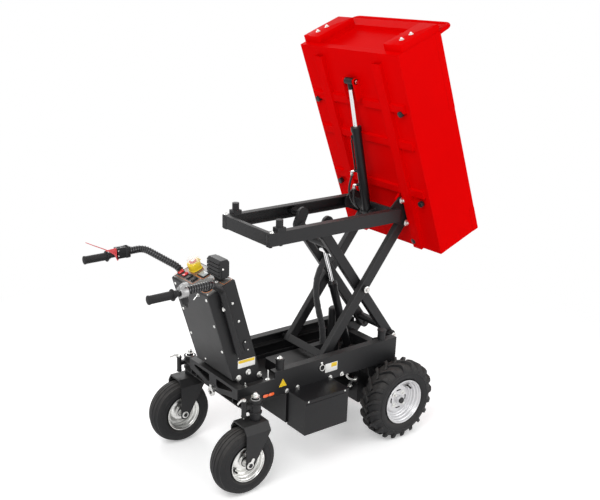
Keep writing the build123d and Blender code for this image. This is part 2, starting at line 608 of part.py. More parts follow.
# ---- scissor ----
def inner_arm():
    """Inner arm with the ear that carries its upper roller inside the platform's channel."""
    start, place = SCISSOR_FOOT, along(SCISSOR_FOOT, INNER_END)
    arm = place * tube_bar((0, 2 * ARM_HALF), INNER_ARM, (-ARM_DEPTH / 2, ARM_DEPTH / 2))
    arm += rod_y(start, INNER_ARM, ARM_DEPTH / 2)
    ear_y = (INNER_ARM[0] + 8, INNER_ARM[1] - 8)
    arm += link(INNER_END, EAR_ROLLER, EAR_RADIUS, ear_y)
    web = DECK_HALF - SHEET - ROLLER_SIDE
    arm += rod_y(EAR_ROLLER, (ear_y[0], web), PIN_RADIUS)
    arm += rod_y(EAR_ROLLER, (DECK_HALF - DECK_FLANGE + ROLLER_SIDE, web), ROLLER_RADIUS)
    arm -= rod_y(start, (INNER_ARM[0] - 1, INNER_ARM[1] + 1), PIN_RADIUS + RUNNING)
    pin_end = OUTER_ARM[1] + 13
    arm += rod_y(MIDDLE, (INNER_ARM[1], pin_end), PIN_RADIUS)
    arm += rod_y(MIDDLE, (INNER_ARM[1], OUTER_ARM[0] - 1), HEAD_RADIUS)
    arm += rod_y(MIDDLE, (OUTER_ARM[1] + 1, pin_end), HEAD_RADIUS)
    pieces = pair("inner_arm", arm)
    clip_y = (SLEEVE_PATH[-1][1] - CLIP_HALF, INNER_ARM[0] + 1)
    pieces["inner_arm_l"] += place * block((CLIP_ALONG - CLIP_HALF, CLIP_ALONG + CLIP_HALF), clip_y, CLIP_Z)
    return pieces


def inner_crosses():
    """Tubes between the inner arms: one near the foot, one with the lift cylinder's lugs."""
    arm = along(SCISSOR_FOOT, INNER_END)
    span = (-INNER_ARM[0], INNER_ARM[0])
    place = arm * Pos(LIFT_EYE, 0, 0)
    cross = place * rod_y((50, 0), span, 17)
    for side in (-1, 1):
        y = (side * LIFT_LUGS_Y[0], side * LIFT_LUGS_Y[1])
        lug = block((0, 50), y, (-LUG_RADIUS, LUG_RADIUS)) + rod_y((0, 0), y, LUG_RADIUS)
        lug += rod_y((0, 0), (y[1], y[1] + side * LUG_PIN), EYE_PIN_RADIUS)
        cross += place * lug
    return {"inner_cross_low": arm * rod_y((60, 0), span, 20), "lift_cross": cross}


def outer_arm():
    """Outer arm with the lower roller on its outside."""
    place = along(LOW_ROLLER, HEAD_PIVOT)
    arm = place * tube_bar((-ARM_TAIL, 2 * ARM_HALF), OUTER_ARM, (-ARM_DEPTH / 2, ARM_DEPTH / 2))
    arm += rod_y(HEAD_PIVOT, OUTER_ARM, ARM_NOSE)
    for centre in (HEAD_PIVOT, MIDDLE):
        arm -= rod_y(centre, (OUTER_ARM[0] - 1, OUTER_ARM[1] + 1), PIN_RADIUS + RUNNING)
    web = FRAME_HALF - SHEET - ROLLER_SIDE
    arm += rod_y(LOW_ROLLER, (OUTER_ARM[1], web), PIN_RADIUS)
    arm += rod_y(LOW_ROLLER, (FRAME_HALF - CHANNEL_FLANGE + ROLLER_SIDE, web), ROLLER_RADIUS)
    return pair("outer_arm", arm)


def outer_cross():
    """Square tube joining the tails of the outer arms."""
    bar = tube_bar((-ARM_TAIL, 15), (-OUTER_ARM[0], OUTER_ARM[0]), (-11, 25))
    return {"outer_cross": along(LOW_ROLLER, HEAD_PIVOT) * bar}


# ---- platform ----
def hinge_plate():
    """Plate at a rail's front end: a belt round the rail's end, the scissor's head pivot and the bed's hinge."""
    hx, hz = HINGE
    rail_end = [((-6, DECK_BOTTOM + 14), 14), ((-6, DECK_TOP - 14), 14)]
    return wrapped_plate(rail_end + [(HEAD_PIVOT, 20), ((hx - 2, hz - 2), 16)], PIVOT_PLATE)


def deck_rail():
    """Channel rail open to the inside, with the front hinge plate, its pins and a bed stop."""
    inner = DECK_HALF - DECK_FLANGE
    z = (DECK_BOTTOM, DECK_TOP)
    rail = block(DECK_X, (DECK_HALF - SHEET, DECK_HALF), z)
    for bottom in (z[0], z[1] - SHEET):
        rail += block(DECK_X, (inner, DECK_HALF), (bottom, bottom + SHEET))
    rail += hinge_plate()
    outside = PIVOT_PLATE[1]
    rail += rod_y(HEAD_PIVOT, (OUTER_ARM[0] - 2, outside), PIN_RADIUS)
    rail += rod_y(HEAD_PIVOT, (outside, outside + 7), HEAD_RADIUS - 1)
    rail += rod_y(HINGE, (GUSSET_Y[0] - PLATE_GAP, outside + 6), PIN_RADIUS)
    rail += rod_y(HINGE, (outside, outside + 6), HEAD_RADIUS - 1)
    base_half, base_height = STOP_BASE
    base = (DECK_TOP, DECK_TOP + base_height)
    rail += block((STOP_X - base_half, STOP_X + base_half), (inner, DECK_HALF + 2), base)
    rail += rod_z((STOP_X, STOP_Y), (base[1], HINGE[1] + BED_FLOOR - BED_CLEAR), STOP_RADIUS)
    return pair("deck_rail", rail)


def deck_bars():
    """Bars closing the platform's two ends; the front one carries the tip cylinder."""
    inner = DECK_HALF - DECK_FLANGE
    rear_bar, front_bar = DECK_BAR
    rear = block((DECK_X[0], DECK_X[0] + rear_bar), (-inner, inner), (DECK_BOTTOM, DECK_TOP))
    plate = PIVOT_PLATE[0]
    front_x = DECK_X[1] - front_bar
    front = block((front_x, DECK_X[1]), (-plate, plate), (DECK_BOTTOM + 8, DECK_TOP - SHEET))
    x, z = TIP_BASE
    for side in (-1, 1):
        y = (side * TIP_LUGS_Y[0], side * TIP_LUGS_Y[1])
        front += block((x, front_x), y, (z - LUG_RADIUS, z + LUG_RADIUS)) + rod_y(TIP_BASE, y, LUG_RADIUS)
    pin = TIP_LUGS_Y[1] + LUG_PIN
    front += rod_y(TIP_BASE, (-pin, pin), PIN_RADIUS)
    return {"deck_rear_bar": rear, "deck_front_bar": front}


# ---- cylinders ----
def rod_x(x, radius):
    """Cylinder along local X between two values of x."""
    return Pos((x[0] + x[1]) / 2, 0, 0) * Rot(0, 90, 0) * Cylinder(radius, x[1] - x[0])


def cylinder(start, end, body, rod_radius, head_half):
    """Barrel on its base pin, and a rod with a cross head at the far end."""
    place = along(start, end)
    length = hypot(end[0] - start[0], end[1] - start[1])
    radius, gland = body
    eye_radius, eye_half = BASE_EYE
    barrel = rod_x((14, gland), radius) + rod_x((gland - GLAND[1], gland), radius + GLAND[0])
    barrel = place * (barrel + rod_y((0, 0), (-eye_half, eye_half), eye_radius))
    barrel -= rod_y(start, (-eye_half - 10, eye_half + 10), PIN_RADIUS + RUNNING)
    barrel -= place * rod_x((ROD_SUNK, gland + ROD_SUNK), rod_radius + RUNNING)
    rod = rod_x((gland - ROD_SUNK, length), rod_radius) + rod_y((length, 0), (-head_half, head_half), EYE_RADIUS)
    return barrel, place * rod


def lift_cylinder():
    """Cylinder between the pan and the inner arms' upper cross tube."""
    run = radians(ARM_ANGLE)
    eye = (SCISSOR_FOOT[0] - LIFT_EYE * cos(run), SCISSOR_FOOT[1] + LIFT_EYE * sin(run))
    barrel, rod = cylinder(LIFT_BASE, eye, LIFT_BODY, LIFT_ROD_RADIUS, LIFT_HEAD)
    return {"lift_barrel": barrel, "lift_rod": rod}


def tip_cylinder():
    """Cylinder between the platform's front bar and the bracket under the bed."""
    tip = radians(TIP_ANGLE)
    x, z = TIP_EYE
    eye = (HINGE[0] + x * cos(tip) + z * sin(tip), HINGE[1] - x * sin(tip) + z * cos(tip))
    barrel, rod = cylinder(TIP_BASE, eye, TIP_BODY, TIP_ROD_RADIUS, TIP_HEAD)
    return {"tip_barrel": barrel, "tip_rod": rod}


# ---- bed, each piece drawn level about the hinge line ----
def rear_wall():
    """Rear sheet set back between two corner plates, on a square sill."""
    x0 = BED_X[0]
    low, high = BED_FLOOR + THIN, BED_RIM - THIN
    inset, plate_y0, plate_y1 = x0 + REAR_INSET, BED_HALF - CORNER, BED_HALF - THIN
    wall = block((inset, inset + THIN), (-plate_y0, plate_y0), (low, high))
    wall += block((x0, x0 + REAR_SILL), (-plate_y1, plate_y1), (low, low + REAR_SILL))
    wall += block((x0, inset + THIN), (-plate_y1, plate_y1), (high - THIN, high))
    for side in (-1, 1):
        wall += block((x0, x0 + THIN), (side * plate_y0, side * plate_y1), (low, high))
        wall += block((x0, inset + THIN), (side * plate_y0, side * (plate_y0 + THIN)), (low, high))
    return wall


def rear_handle():
    """Rear wall's raised top: a plate, a hand slot and a tube loop over it."""
    x0 = BED_X[0]
    y = (-HANDLE_HALF, HANDLE_HALF)
    loop_z = BED_RIM + HANDLE_RISE
    plate = block((x0, x0 + THIN), y, (BED_RIM - THIN, loop_z - HANDLE_TUBE - HANDLE_SLOT))
    tube_x = x0 + HANDLE_TUBE
    ends = [Vector(tube_x, end * HANDLE_FLARE, BED_RIM + 2) for end in y]
    tops = [Vector(tube_x, end, loop_z) for end in y]
    path = FilletPolyline(ends[0], tops[0], tops[1], ends[1], radius=3 * HANDLE_TUBE)
    section = Plane(origin=ends[0], z_dir=tops[0] - ends[0]) * Circle(HANDLE_TUBE)
    return plate + sweep(section, path=path)


def bed_floor():
    """Floor sheet with cross ribs under it, a gap in the middle one for the bracket, and two hinge gussets."""
    floor = block(BED_X, (-BED_HALF, BED_HALF), (BED_FLOOR, BED_FLOOR + THIN))
    rib_end = BED_HALF - CROSS_RIB_INSET
    for x in CROSS_RIBS_X:
        floor += block((x - CROSS_RIB_HALF, x + CROSS_RIB_HALF), (-rib_end, rib_end), (CROSS_RIB_BOTTOM, BED_FLOOR))
    gap = CROSS_RIB_HALF + 1
    x = CROSS_RIBS_X[0]
    floor -= block((x - gap, x + gap), (-BRACKET_HALF - 1, BRACKET_HALF + 1), (-1, BED_FLOOR))
    for side in (-1, 1):
        y = (side * GUSSET_Y[0], side * GUSSET_Y[1])
        web = [(-GUSSET_HALF, BED_FLOOR), (GUSSET_HALF, BED_FLOOR), (GUSSET_EYE, 0), (-GUSSET_EYE, 0)]
        floor += plate_y(web, y) + rod_y((0, 0), y, GUSSET_EYE)
        floor -= rod_y((0, 0), (y[0] - side, y[1] + side), PIN_RADIUS + RUNNING)
    return floor


def bed_side():
    """Left side sheet with the rim folded in, and stiffening strips outside the rim's two ends."""
    side = block(BED_X, (BED_HALF - THIN, BED_HALF), (BED_FLOOR + THIN, BED_RIM))
    side += block(BED_X, (BED_HALF - RIM_FOLD, BED_HALF), (BED_RIM - THIN, BED_RIM))
    width, thick = STRIP
    for x in STRIPS_X:
        side += block(x, (BED_HALF - 1, BED_HALF + thick), (BED_RIM - width, BED_RIM))
    return side


def bed_gate():
    """Front sheet with a long notch over the floor."""
    x1 = BED_X[1]
    inner = BED_HALF - THIN
    gate = block((x1 - THIN, x1), (-inner, inner), (BED_FLOOR + THIN, BED_RIM - THIN))
    half, height = GATE_NOTCH
    return gate - block((x1 - THIN - 1, x1 + 1), (-half, half), (BED_FLOOR, BED_FLOOR + THIN + height))


def bed_rib():
    """Left long rib: an open channel under the floor, cut out over the cross ribs."""
    x = (RIB_START, BED_X[1] - 5)
    bottom = BED_FLOOR - RIB_DEPTH
    rib = block(x, RIB_Y, (bottom, BED_FLOOR))
    rib -= block((x[0] - 1, x[1] + 1), (RIB_Y[0] + THIN, RIB_Y[1] - THIN), (bottom + THIN, BED_FLOOR + 1))
    for cross in CROSS_RIBS_X:
        rib -= block((cross - CROSS_RIB_HALF, cross + CROSS_RIB_HALF), (RIB_Y[0] - 1, RIB_Y[1] + 1),
                     (CROSS_RIB_BOTTOM, BED_FLOOR + 1))
    return rib


def tip_bracket():
    """Plate under the floor with two lugs for the tip cylinder's cross head."""
    x, z = TIP_EYE
    rib = CROSS_RIBS_X[0]
    bracket = block((x + 24, rib + 10), (-BRACKET_HALF, BRACKET_HALF), (BED_FLOOR - 6, BED_FLOOR))
    for side in (-1, 1):
        y = (side * BRACKET_LUGS_Y[0], side * BRACKET_LUGS_Y[1])
        bracket += block((x, rib - 20), y, (z - LUG_RADIUS, BED_FLOOR)) + rod_y(TIP_EYE, y, LUG_RADIUS)
        bracket += rod_y(TIP_EYE, (y[1], y[1] + side * (LUG_PIN + 2)), EYE_PIN_RADIUS)
    return bracket


def bed_pieces():
    """Tub of flat sheets, tipped about its hinge."""
    pieces = {"bed_floor": bed_floor(), "bed_rear_wall": rear_wall() + rear_handle(), "bed_gate": bed_gate(),
              "tip_bracket": tip_bracket()}
    pieces.update(pair("bed_side", bed_side()))
    pieces.update(pair("bed_rib", bed_rib()))
    tipped = Pos(HINGE[0], 0, HINGE[1]) * Rot(0, TIP_ANGLE, 0)
    return {name: tipped * piece for name, piece in pieces.items()}


def build():
    makers = (drive_wheel, castor_wheel, castor_fork, side_rail, rear_crossmember, floor_pan, castor_housing,
              battery_box, drive_unit, hydraulic_pack, hose_sleeve, tow_eye, console, emergency_stop,
              headlamp, handlebar, inner_arm, inner_crosses, outer_arm, outer_cross, deck_rail, deck_bars,
              lift_cylinder, tip_cylinder, bed_pieces)
    pieces = {}
    for maker in makers:
        pieces.update(maker())
    return pieces


def export(pieces):
    os.makedirs("parts", exist_ok=True)
    for name, piece in pieces.items():
        export_step(Pos(AXLE_X, 0, 0) * piece, f"parts/{name}.step")


if __name__ == "__main__":
    export(build())
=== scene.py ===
"""Finishes the walk-behind scissor-lift site dumper: tread, fasteners, controls, hoses, paints and stage."""
import json
import math

import bpy
import numpy as np
from bpy.props import FloatProperty, FloatVectorProperty, IntProperty, PointerProperty
from mathutils import Matrix, Vector


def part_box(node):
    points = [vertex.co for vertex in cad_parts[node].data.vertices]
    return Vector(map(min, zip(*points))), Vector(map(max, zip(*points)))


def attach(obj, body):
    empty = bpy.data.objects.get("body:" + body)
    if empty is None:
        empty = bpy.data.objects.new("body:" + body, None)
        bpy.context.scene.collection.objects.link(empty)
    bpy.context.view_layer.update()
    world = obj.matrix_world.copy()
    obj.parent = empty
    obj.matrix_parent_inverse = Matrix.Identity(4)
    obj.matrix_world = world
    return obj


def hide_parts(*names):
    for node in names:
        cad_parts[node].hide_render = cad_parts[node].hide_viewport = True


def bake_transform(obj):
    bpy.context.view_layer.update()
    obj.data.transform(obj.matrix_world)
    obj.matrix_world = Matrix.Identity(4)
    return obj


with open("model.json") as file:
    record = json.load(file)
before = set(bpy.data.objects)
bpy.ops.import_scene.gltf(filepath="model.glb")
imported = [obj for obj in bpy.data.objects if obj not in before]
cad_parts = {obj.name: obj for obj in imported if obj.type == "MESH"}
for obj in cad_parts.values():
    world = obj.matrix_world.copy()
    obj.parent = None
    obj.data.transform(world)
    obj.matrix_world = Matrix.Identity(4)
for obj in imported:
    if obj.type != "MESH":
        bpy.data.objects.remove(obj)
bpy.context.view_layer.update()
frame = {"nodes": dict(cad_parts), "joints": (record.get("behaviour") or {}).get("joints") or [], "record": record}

bl_info = {
    "name": "Site dumper finishes",
    "version": (1, 0, 0),
    "blender": (4, 5, 0),
    "location": "View3D > Sidebar > Dumper",
    "description": "Tread, fasteners, controls, hoses, paints and stage of a scissor-lift site dumper",
    "category": "Object",
}

MM = 0.001
TURN = 2 * math.pi
UP, FORE, LEFT = (0.0, 0.0, 1.0), (1.0, 0.0, 0.0), (0.0, 1.0, 0.0)
DOWN, BACK, RIGHT = (0.0, 0.0, -1.0), (-1.0, 0.0, 0.0), (0.0, -1.0, 0.0)
PIVOTS = {joint["name"]: np.array(joint["pos_m"]) for joint in frame["joints"] if "pos_m" in joint}


def low(node):
    """A node's lowest corner, in metres."""
    return np.array(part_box(node)[0])


def high(node):
    """A node's highest corner, in metres."""
    return np.array(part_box(node)[1])


# ------------------------------------------------------------------ skins
# A skin is (points, faces): an (n, 3) array in metres, and a list of index arrays with a face in each row.


def outward(skin):
    """The skin with its faces pointing out: its volume, a sum of corner triple products, must be positive."""
    points, faces = skin
    volume = 0.0
    for batch in faces:
        corner = points[batch]
        volume += np.einsum("fi,fki->", corner[:, 0], np.cross(corner[:, 1:-1], corner[:, 2:]))
    return (points, [batch[:, ::-1] for batch in faces]) if volume < 0 else skin


def loft(rings, hoop=False):
    """Closed skin over rings of equal count: quads join corner j of ring i to corner j+1 of ring i+1.
    A hoop joins its last ring to its first; otherwise flat ends close it."""
    rings = np.asarray(rings, float)
    count, corners = rings.shape[:2]
    ids = np.arange(count * corners).reshape(count, corners)
    rows = np.vstack([ids, ids[:1]]) if hoop else ids
    beside = np.roll(rows, -1, axis=1)
    quads = np.stack([rows[:-1], beside[:-1], beside[1:], rows[1:]], -1).reshape(-1, 4)
    faces = [quads] if hoop else [quads, ids[:1, ::-1], ids[-1:]]
    return outward((rings.reshape(-1, 3), faces))


def joined(*skins):
    """One skin of several."""
    points, faces, start = [], [], 0
    for part_points, part_faces in skins:
        points.append(part_points)
        faces += [batch + start for batch in part_faces]
        start += len(part_points)
    return np.vstack(points), faces


def moved(skin, matrix):
    """The skin under a 4x4 matrix; a mirrored one has its faces turned round."""
    points, faces = skin
    matrix = np.asarray(matrix, float)
    placed = points @ matrix[:3, :3].T + matrix[:3, 3]
    flip = np.linalg.det(matrix[:3, :3]) < 0
    return placed, [batch[:, ::-1] for batch in faces] if flip else faces


def repeated(skin, matrices):
    """A copy of the skin under each matrix: point k,n is R_k p_n + t_k."""
    points, faces = skin
    stack = np.asarray([np.asarray(matrix, float) for matrix in matrices])
    spread = np.einsum("kij,nj->kni", stack[:, :3, :3], points) + stack[:, None, :3, 3]
    starts = np.arange(len(stack)) * len(points)
    copies = [(batch[None] + starts[:, None, None]).reshape(-1, batch.shape[1]) for batch in faces]
    return spread.reshape(-1, 3), copies


def stand(place, axis=UP, along=None):
    """Matrix that stands local +Z along axis at place, with local +X as near to along as it can be."""
    z = np.array(axis, float) / np.linalg.norm(axis)
    if along is None:
        along = UP if abs(z[2]) < 0.9 else FORE
    x = np.array(along, float) - z * np.dot(along, z)
    x /= np.linalg.norm(x)
    matrix = np.eye(4)
    matrix[:3, :3] = np.stack([x, np.cross(z, x), z], 1)
    matrix[:3, 3] = place
    return matrix


def about(axis_point, axis, angle):
    """Matrix of a turn by angle about an axis through a point."""
    shift = Matrix.Translation(Vector(axis_point))
    return np.array(shift @ Matrix.Rotation(angle, 4, Vector(axis)) @ shift.inverted())


# Turns a wheel's part over its middle plane.
OVER = np.diag([1.0, 1.0, -1.0, 1.0])
# The dumper's sides, and how the names of each side's bodies end.
ENDS = ((1, "l"), (-1, "r"))


def circle(radius, corners, z=0.0):
    """Ring of corners on a circle at height z: (r cos a, r sin a, z)."""
    angle = np.arange(corners) * TURN / corners
    return np.stack([radius * np.cos(angle), radius * np.sin(angle), np.full(corners, z)], 1)


def turned(profile, corners=32):
    """Solid of revolution about local +Z: each (radius, height) of the profile sweeps a circle."""
    return loft([circle(max(radius, 0.00002), corners, z) for radius, z in profile])


def arc(centre, radius, start, end, steps):
    """Points of an arc: centre + r (cos a, sin a), a from start to end in degrees."""
    angle = np.radians(np.linspace(start, end, steps + 1))
    return np.array(centre) + radius * np.stack([np.cos(angle), np.sin(angle)], 1)


def rounded(width, depth, corner, steps=4):
    """Outline of a rectangle with arc corners, anticlockwise, centred on the origin."""
    half = np.array([width, depth]) / 2 - corner
    quarters = [(1, 1, 0), (-1, 1, 90), (-1, -1, 180), (1, -1, 270)]
    return np.vstack([arc(half * (sx, sy), corner, start, start + 90, steps) for sx, sy, start in quarters])


def prism(outline, height, edge=0.0, steps=3, base=0.0):
    """Solid on an anticlockwise outline, with rounded rims: at height z the outline draws in along its corner
    normals by edge (1 - cos t), where t runs a quarter turn over the last edge of height."""
    outline = np.asarray(outline, float)
    before, after = outline - np.roll(outline, 1, 0), np.roll(outline, -1, 0) - outline
    side = [v / np.maximum(np.linalg.norm(v, axis=1, keepdims=True), 1e-12) for v in (before, after)]
    out = np.stack([side[0][:, 1] + side[1][:, 1], -side[0][:, 0] - side[1][:, 0]], 1)
    out *= 2 / np.maximum((out ** 2).sum(1, keepdims=True), 0.5)
    if edge:
        t = np.linspace(0, math.pi / 2, steps + 1)
        draw = edge * (1 - np.sin(t)), edge * (1 - np.cos(t))
        levels = list(zip(draw[0], draw[1])) + list(zip(draw[0][::-1], height - draw[1][::-1]))
    else:
        levels = [(0, 0), (0, height)]
    rings = [np.column_stack([outline - out * inset, np.full(len(outline), base + z)]) for inset, z in levels]
    return loft(rings)


def slab(width, depth, height, corner=0.002, edge=0.0008, base=0.0):
    """Block with rounded upright corners and rims, standing on local z = base."""
    return prism(rounded(width, depth, corner), height, edge, 2, base)


def smooth_path(points, steps=10):
    """Points along a curve through the given ones: a Catmull-Rom cubic on each run, sampled evenly."""
    points = np.asarray(points, float)
    ends = np.vstack([2 * points[0] - points[1], points, 2 * points[-1] - points[-2]])
    t = np.arange(steps)[:, None, None] / steps
    a, b, c, d = ends[:-3], ends[1:-2], ends[2:-1], ends[3:]
    runs = b + 0.5 * t * (c - a + t * (2 * a - 5 * b + 4 * c - d + t * (3 * (b - c) + d - a)))
    return np.vstack([runs.transpose(1, 0, 2).reshape(-1, 3), points[-1:]])


def frames(path, up=UP):
    """Tangent, side and normal at each point of a path; side is tangent x up, made a unit."""
    path = np.asarray(path, float)
    tangent = np.gradient(path, axis=0)
    tangent /= np.linalg.norm(tangent, axis=1, keepdims=True)
    side = np.cross(tangent, up)
    side /= np.linalg.norm(side, axis=1, keepdims=True)
    return tangent, side, np.cross(side, tangent)


def sweep(path, outline, up=UP, scale=None):
    """Solid that carries a flat outline along a path: p_i + s_i (x side_i + y normal_i)."""
    path = np.asarray(path, float)
    outline = np.asarray(outline, float)
    scale = np.ones(len(path)) if scale is None else np.asarray(scale, float)
    _, side, normal = frames(path, up)
    spread = outline[None, :, :1] * side[:, None] + outline[None, :, 1:] * normal[:, None]
    return loft(path[:, None] + scale[:, None, None] * spread)


def tube(path, radius, corners=12, up=UP):
    """Round solid along a path; radius is one number or one a point."""
    path = np.asarray(path, float)
    return sweep(path, circle(1.0, corners)[:, :2], up, np.broadcast_to(radius, len(path)))


def hexagon(across):
    """Outline of a hexagon by its width across flats."""
    return circle(across / math.sqrt(3), 6)[:, :2]


# ------------------------------------------------------------------ fasteners, each standing on local z = 0


def hex_bolt(across=0.013):
    """Hexagon head with chamfered rims, on a washer."""
    head, plate = 0.6 * across, 0.12 * across
    crown = [hexagon(across * share) for share in (0.96, 1.0, 1.0, 0.9)]
    heights = (plate, plate + 0.0006, 0.85 * head, head)
    rings = [np.column_stack([outline, np.full(6, z)]) for outline, z in zip(crown, heights)]
    washer = turned([(0.92 * across, 0), (0.92 * across, plate * 0.7), (0.86 * across, plate)], 24)
    return joined(loft(rings), washer)


def nut_on_stud(across=0.017, stud=0.012):
    """Nut on a washer with the round end of its stud standing out of it."""
    root, top = 0.29 * across, 0.6 * across + stud
    tip = [(root, 0.3 * across), (root, top - 0.25 * root), (0.72 * root, top)]
    return joined(hex_bolt(across), turned(tip, 16))


def dome_nut(across=0.019):
    """Acorn nut: a short hexagon on a washer under a half-round cap."""
    cap = arc((0, 0.5 * across), 0.46 * across, 0, 88, 8)
    return joined(hex_bolt(across), turned([(0.46 * across, 0.2 * across)] + [tuple(p) for p in cap], 24))


def button_screw(radius=0.006, height=0.003):
    """Low domed screw head with a small socket dimple."""
    dome = [(radius, 0), (radius, 0.25 * height)]
    dome += [(radius * math.cos(a), height * (0.25 + 0.75 * math.sin(a)))
             for a in np.radians((25, 45, 62, 74))]
    return turned(dome + [(0.3 * radius, 0.55 * height), (0.0001, 0.5 * height)], 20)


def cap_screw(radius=0.006, height=0.006):
    """Cylinder head with a sunk hexagon socket."""
    wall = [(0.98 * radius, 0), (radius, 0.1 * height), (radius, 0.85 * height), (0.9 * radius, height)]
    return turned(wall + [(0.55 * radius, height), (0.5 * radius, 0.5 * height), (0.0001, 0.48 * height)], 24)


# ------------------------------------------------------------------ pieces


def piece(name, body, finish, skins, replaces=(), crease=35.0, uv=None):
    """Puts skins, or (skin, finish) pairs, into one smooth-shaded mesh with sharp creases, on a CAD body."""
    pairs = [(skin, finish) if isinstance(skin[1], list) else skin for skin in skins]
    names = list(dict.fromkeys(pair[1] for pair in pairs))
    points, faces = joined(*[pair[0] for pair in pairs])
    index = np.concatenate([np.full(len(batch), names.index(used))
                            for skin, used in pairs for batch in skin[1]])
    sizes = np.concatenate([np.full(len(batch), batch.shape[1]) for batch in faces])
    mesh = bpy.data.meshes.new(name)
    mesh.vertices.add(len(points))
    mesh.vertices.foreach_set("co", points.astype(np.float32).ravel())
    corners = np.concatenate([batch.ravel() for batch in faces])
    mesh.loops.add(len(corners))
    mesh.loops.foreach_set("vertex_index", corners.astype(np.int32))
    mesh.polygons.add(len(sizes))
    mesh.polygons.foreach_set("loop_start", (np.cumsum(sizes) - sizes).astype(np.int32))
    mesh.polygons.foreach_set("material_index", index.astype(np.int32))
    mesh.polygons.foreach_set("use_smooth", np.ones(len(sizes), bool))
    mesh.update(calc_edges=True)
    mesh.validate()
    mesh.set_sharp_from_angle(angle=math.radians(crease))
    if uv is not None:
        layer = mesh.uv_layers.new(name="along")
        layer.data.foreach_set("uv", uv[corners].astype(np.float32).ravel())
    for used in names:
        mesh.materials.append(FINISHES[used])
    made = bpy.data.objects.new(name, mesh)
    bpy.context.scene.collection.objects.link(made)
    if body:
        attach(made, body)
    if replaces:
        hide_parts(*replaces)
    return made


# ------------------------------------------------------------------ shader node groups

FINISHES = {}


def wired(tree, kind, sockets=None, **settings):
    """Adds a node with its settings; each socket takes a value, or a link from another node's output."""
    node = tree.nodes.new(kind)
    for key, value in settings.items():
        setattr(node, key, value)
    for key, value in (sockets or {}).items():
        if isinstance(value, bpy.types.NodeSocket):
            tree.links.new(value, node.inputs[key])
        else:
            node.inputs[key].default_value = value
    return node


def math_node(tree, operation, *values, clamp=False):
    """Output of a Math node over values or other outputs."""
    sockets = dict(enumerate(values))
    return wired(tree, "ShaderNodeMath", sockets, operation=operation, use_clamp=clamp).outputs[0]


def blend_colour(tree, factor, first, second, mode="MIX"):
    """Colour output of a Mix node."""
    sockets = {"Factor": factor, 6: first, 7: second}
    return wired(tree, "ShaderNodeMix", sockets, data_type="RGBA", blend_type=mode).outputs[2]


def new_group(name, inputs, outputs):
    """Shader group with named float inputs, and outputs given as (name, socket type)."""
    group = bpy.data.node_groups.new(name, "ShaderNodeTree")
    for label, default in inputs.items():
        socket = group.interface.new_socket(label, in_out="INPUT", socket_type="NodeSocketFloat")
        socket.default_value = default
    for label, kind in outputs:
        group.interface.new_socket(label, in_out="OUTPUT", socket_type=kind)
    return group, group.nodes.new("NodeGroupInput").outputs, group.nodes.new("NodeGroupOutput")


def grain_group():
    """Grain: fine and coarse noise in metres of object space, as a bump height and a slow tint."""
    group, given, out = new_group(
        "Grain",
        {"Size": 0.0015, "Coarse size": 0.05, "Coarse share": 0.25},
        [("Height", "NodeSocketFloat"), ("Tint", "NodeSocketFloat")],
    )
    place = wired(group, "ShaderNodeTexCoord").outputs["Object"]
    fine_scale = math_node(group, "DIVIDE", 1.0, given["Size"])
    coarse_scale = math_node(group, "DIVIDE", 1.0, given["Coarse size"])
    fine = wired(group, "ShaderNodeTexNoise", {"Vector": place, "Scale": fine_scale, "Detail": 2.0})
    coarse = wired(group, "ShaderNodeTexNoise", {"Vector": place, "Scale": coarse_scale, "Detail": 3.0})
    share = math_node(group, "MULTIPLY", coarse.outputs[0], given["Coarse share"])
    group.links.new(math_node(group, "ADD", fine.outputs[0], share), out.inputs["Height"])
    group.links.new(coarse.outputs[0], out.inputs["Tint"])
    return group


def edge_group():
    """Edges: the normal softened over a small radius, and a mask of where it turns away from the true one."""
    group, given, out = new_group(
        "Edges",
        {"Radius": 0.002, "Sharpness": 6.0},
        [("Mask", "NodeSocketFloat"), ("Normal", "NodeSocketVector")],
    )
    soft = wired(group, "ShaderNodeBevel", {"Radius": given["Radius"]}, samples=4).outputs[0]
    true = wired(group, "ShaderNodeNewGeometry").outputs["Normal"]
    match = wired(group, "ShaderNodeVectorMath", {0: soft, 1: true}, operation="DOT_PRODUCT").outputs["Value"]
    away = math_node(group, "SUBTRACT", 1.0, match)
    mask = math_node(group, "MULTIPLY", away, given["Sharpness"], clamp=True)
    group.links.new(mask, out.inputs["Mask"])
    group.links.new(soft, out.inputs["Normal"])
    return group


def dust_group():
    """Dust: lies where the surface faces up and in the patches of a soft noise."""
    group, given, out = new_group(
        "Dust", {"Amount": 0.3, "Patch size": 0.06}, [("Mask", "NodeSocketFloat")]
    )
    place = wired(group, "ShaderNodeTexCoord").outputs
    height = wired(group, "ShaderNodeSeparateXYZ", {0: place["Normal"]}).outputs["Z"]
    scale = math_node(group, "DIVIDE", 1.0, given["Patch size"])
    patch = wired(group, "ShaderNodeTexNoise", {"Vector": place["Object"], "Scale": scale, "Detail": 4.0})
    lying = math_node(group, "MULTIPLY", math_node(group, "MAXIMUM", height, 0.0), patch.outputs[0])
    group.links.new(math_node(group, "MULTIPLY", lying, given["Amount"], clamp=True), out.inputs["Mask"])
    return group


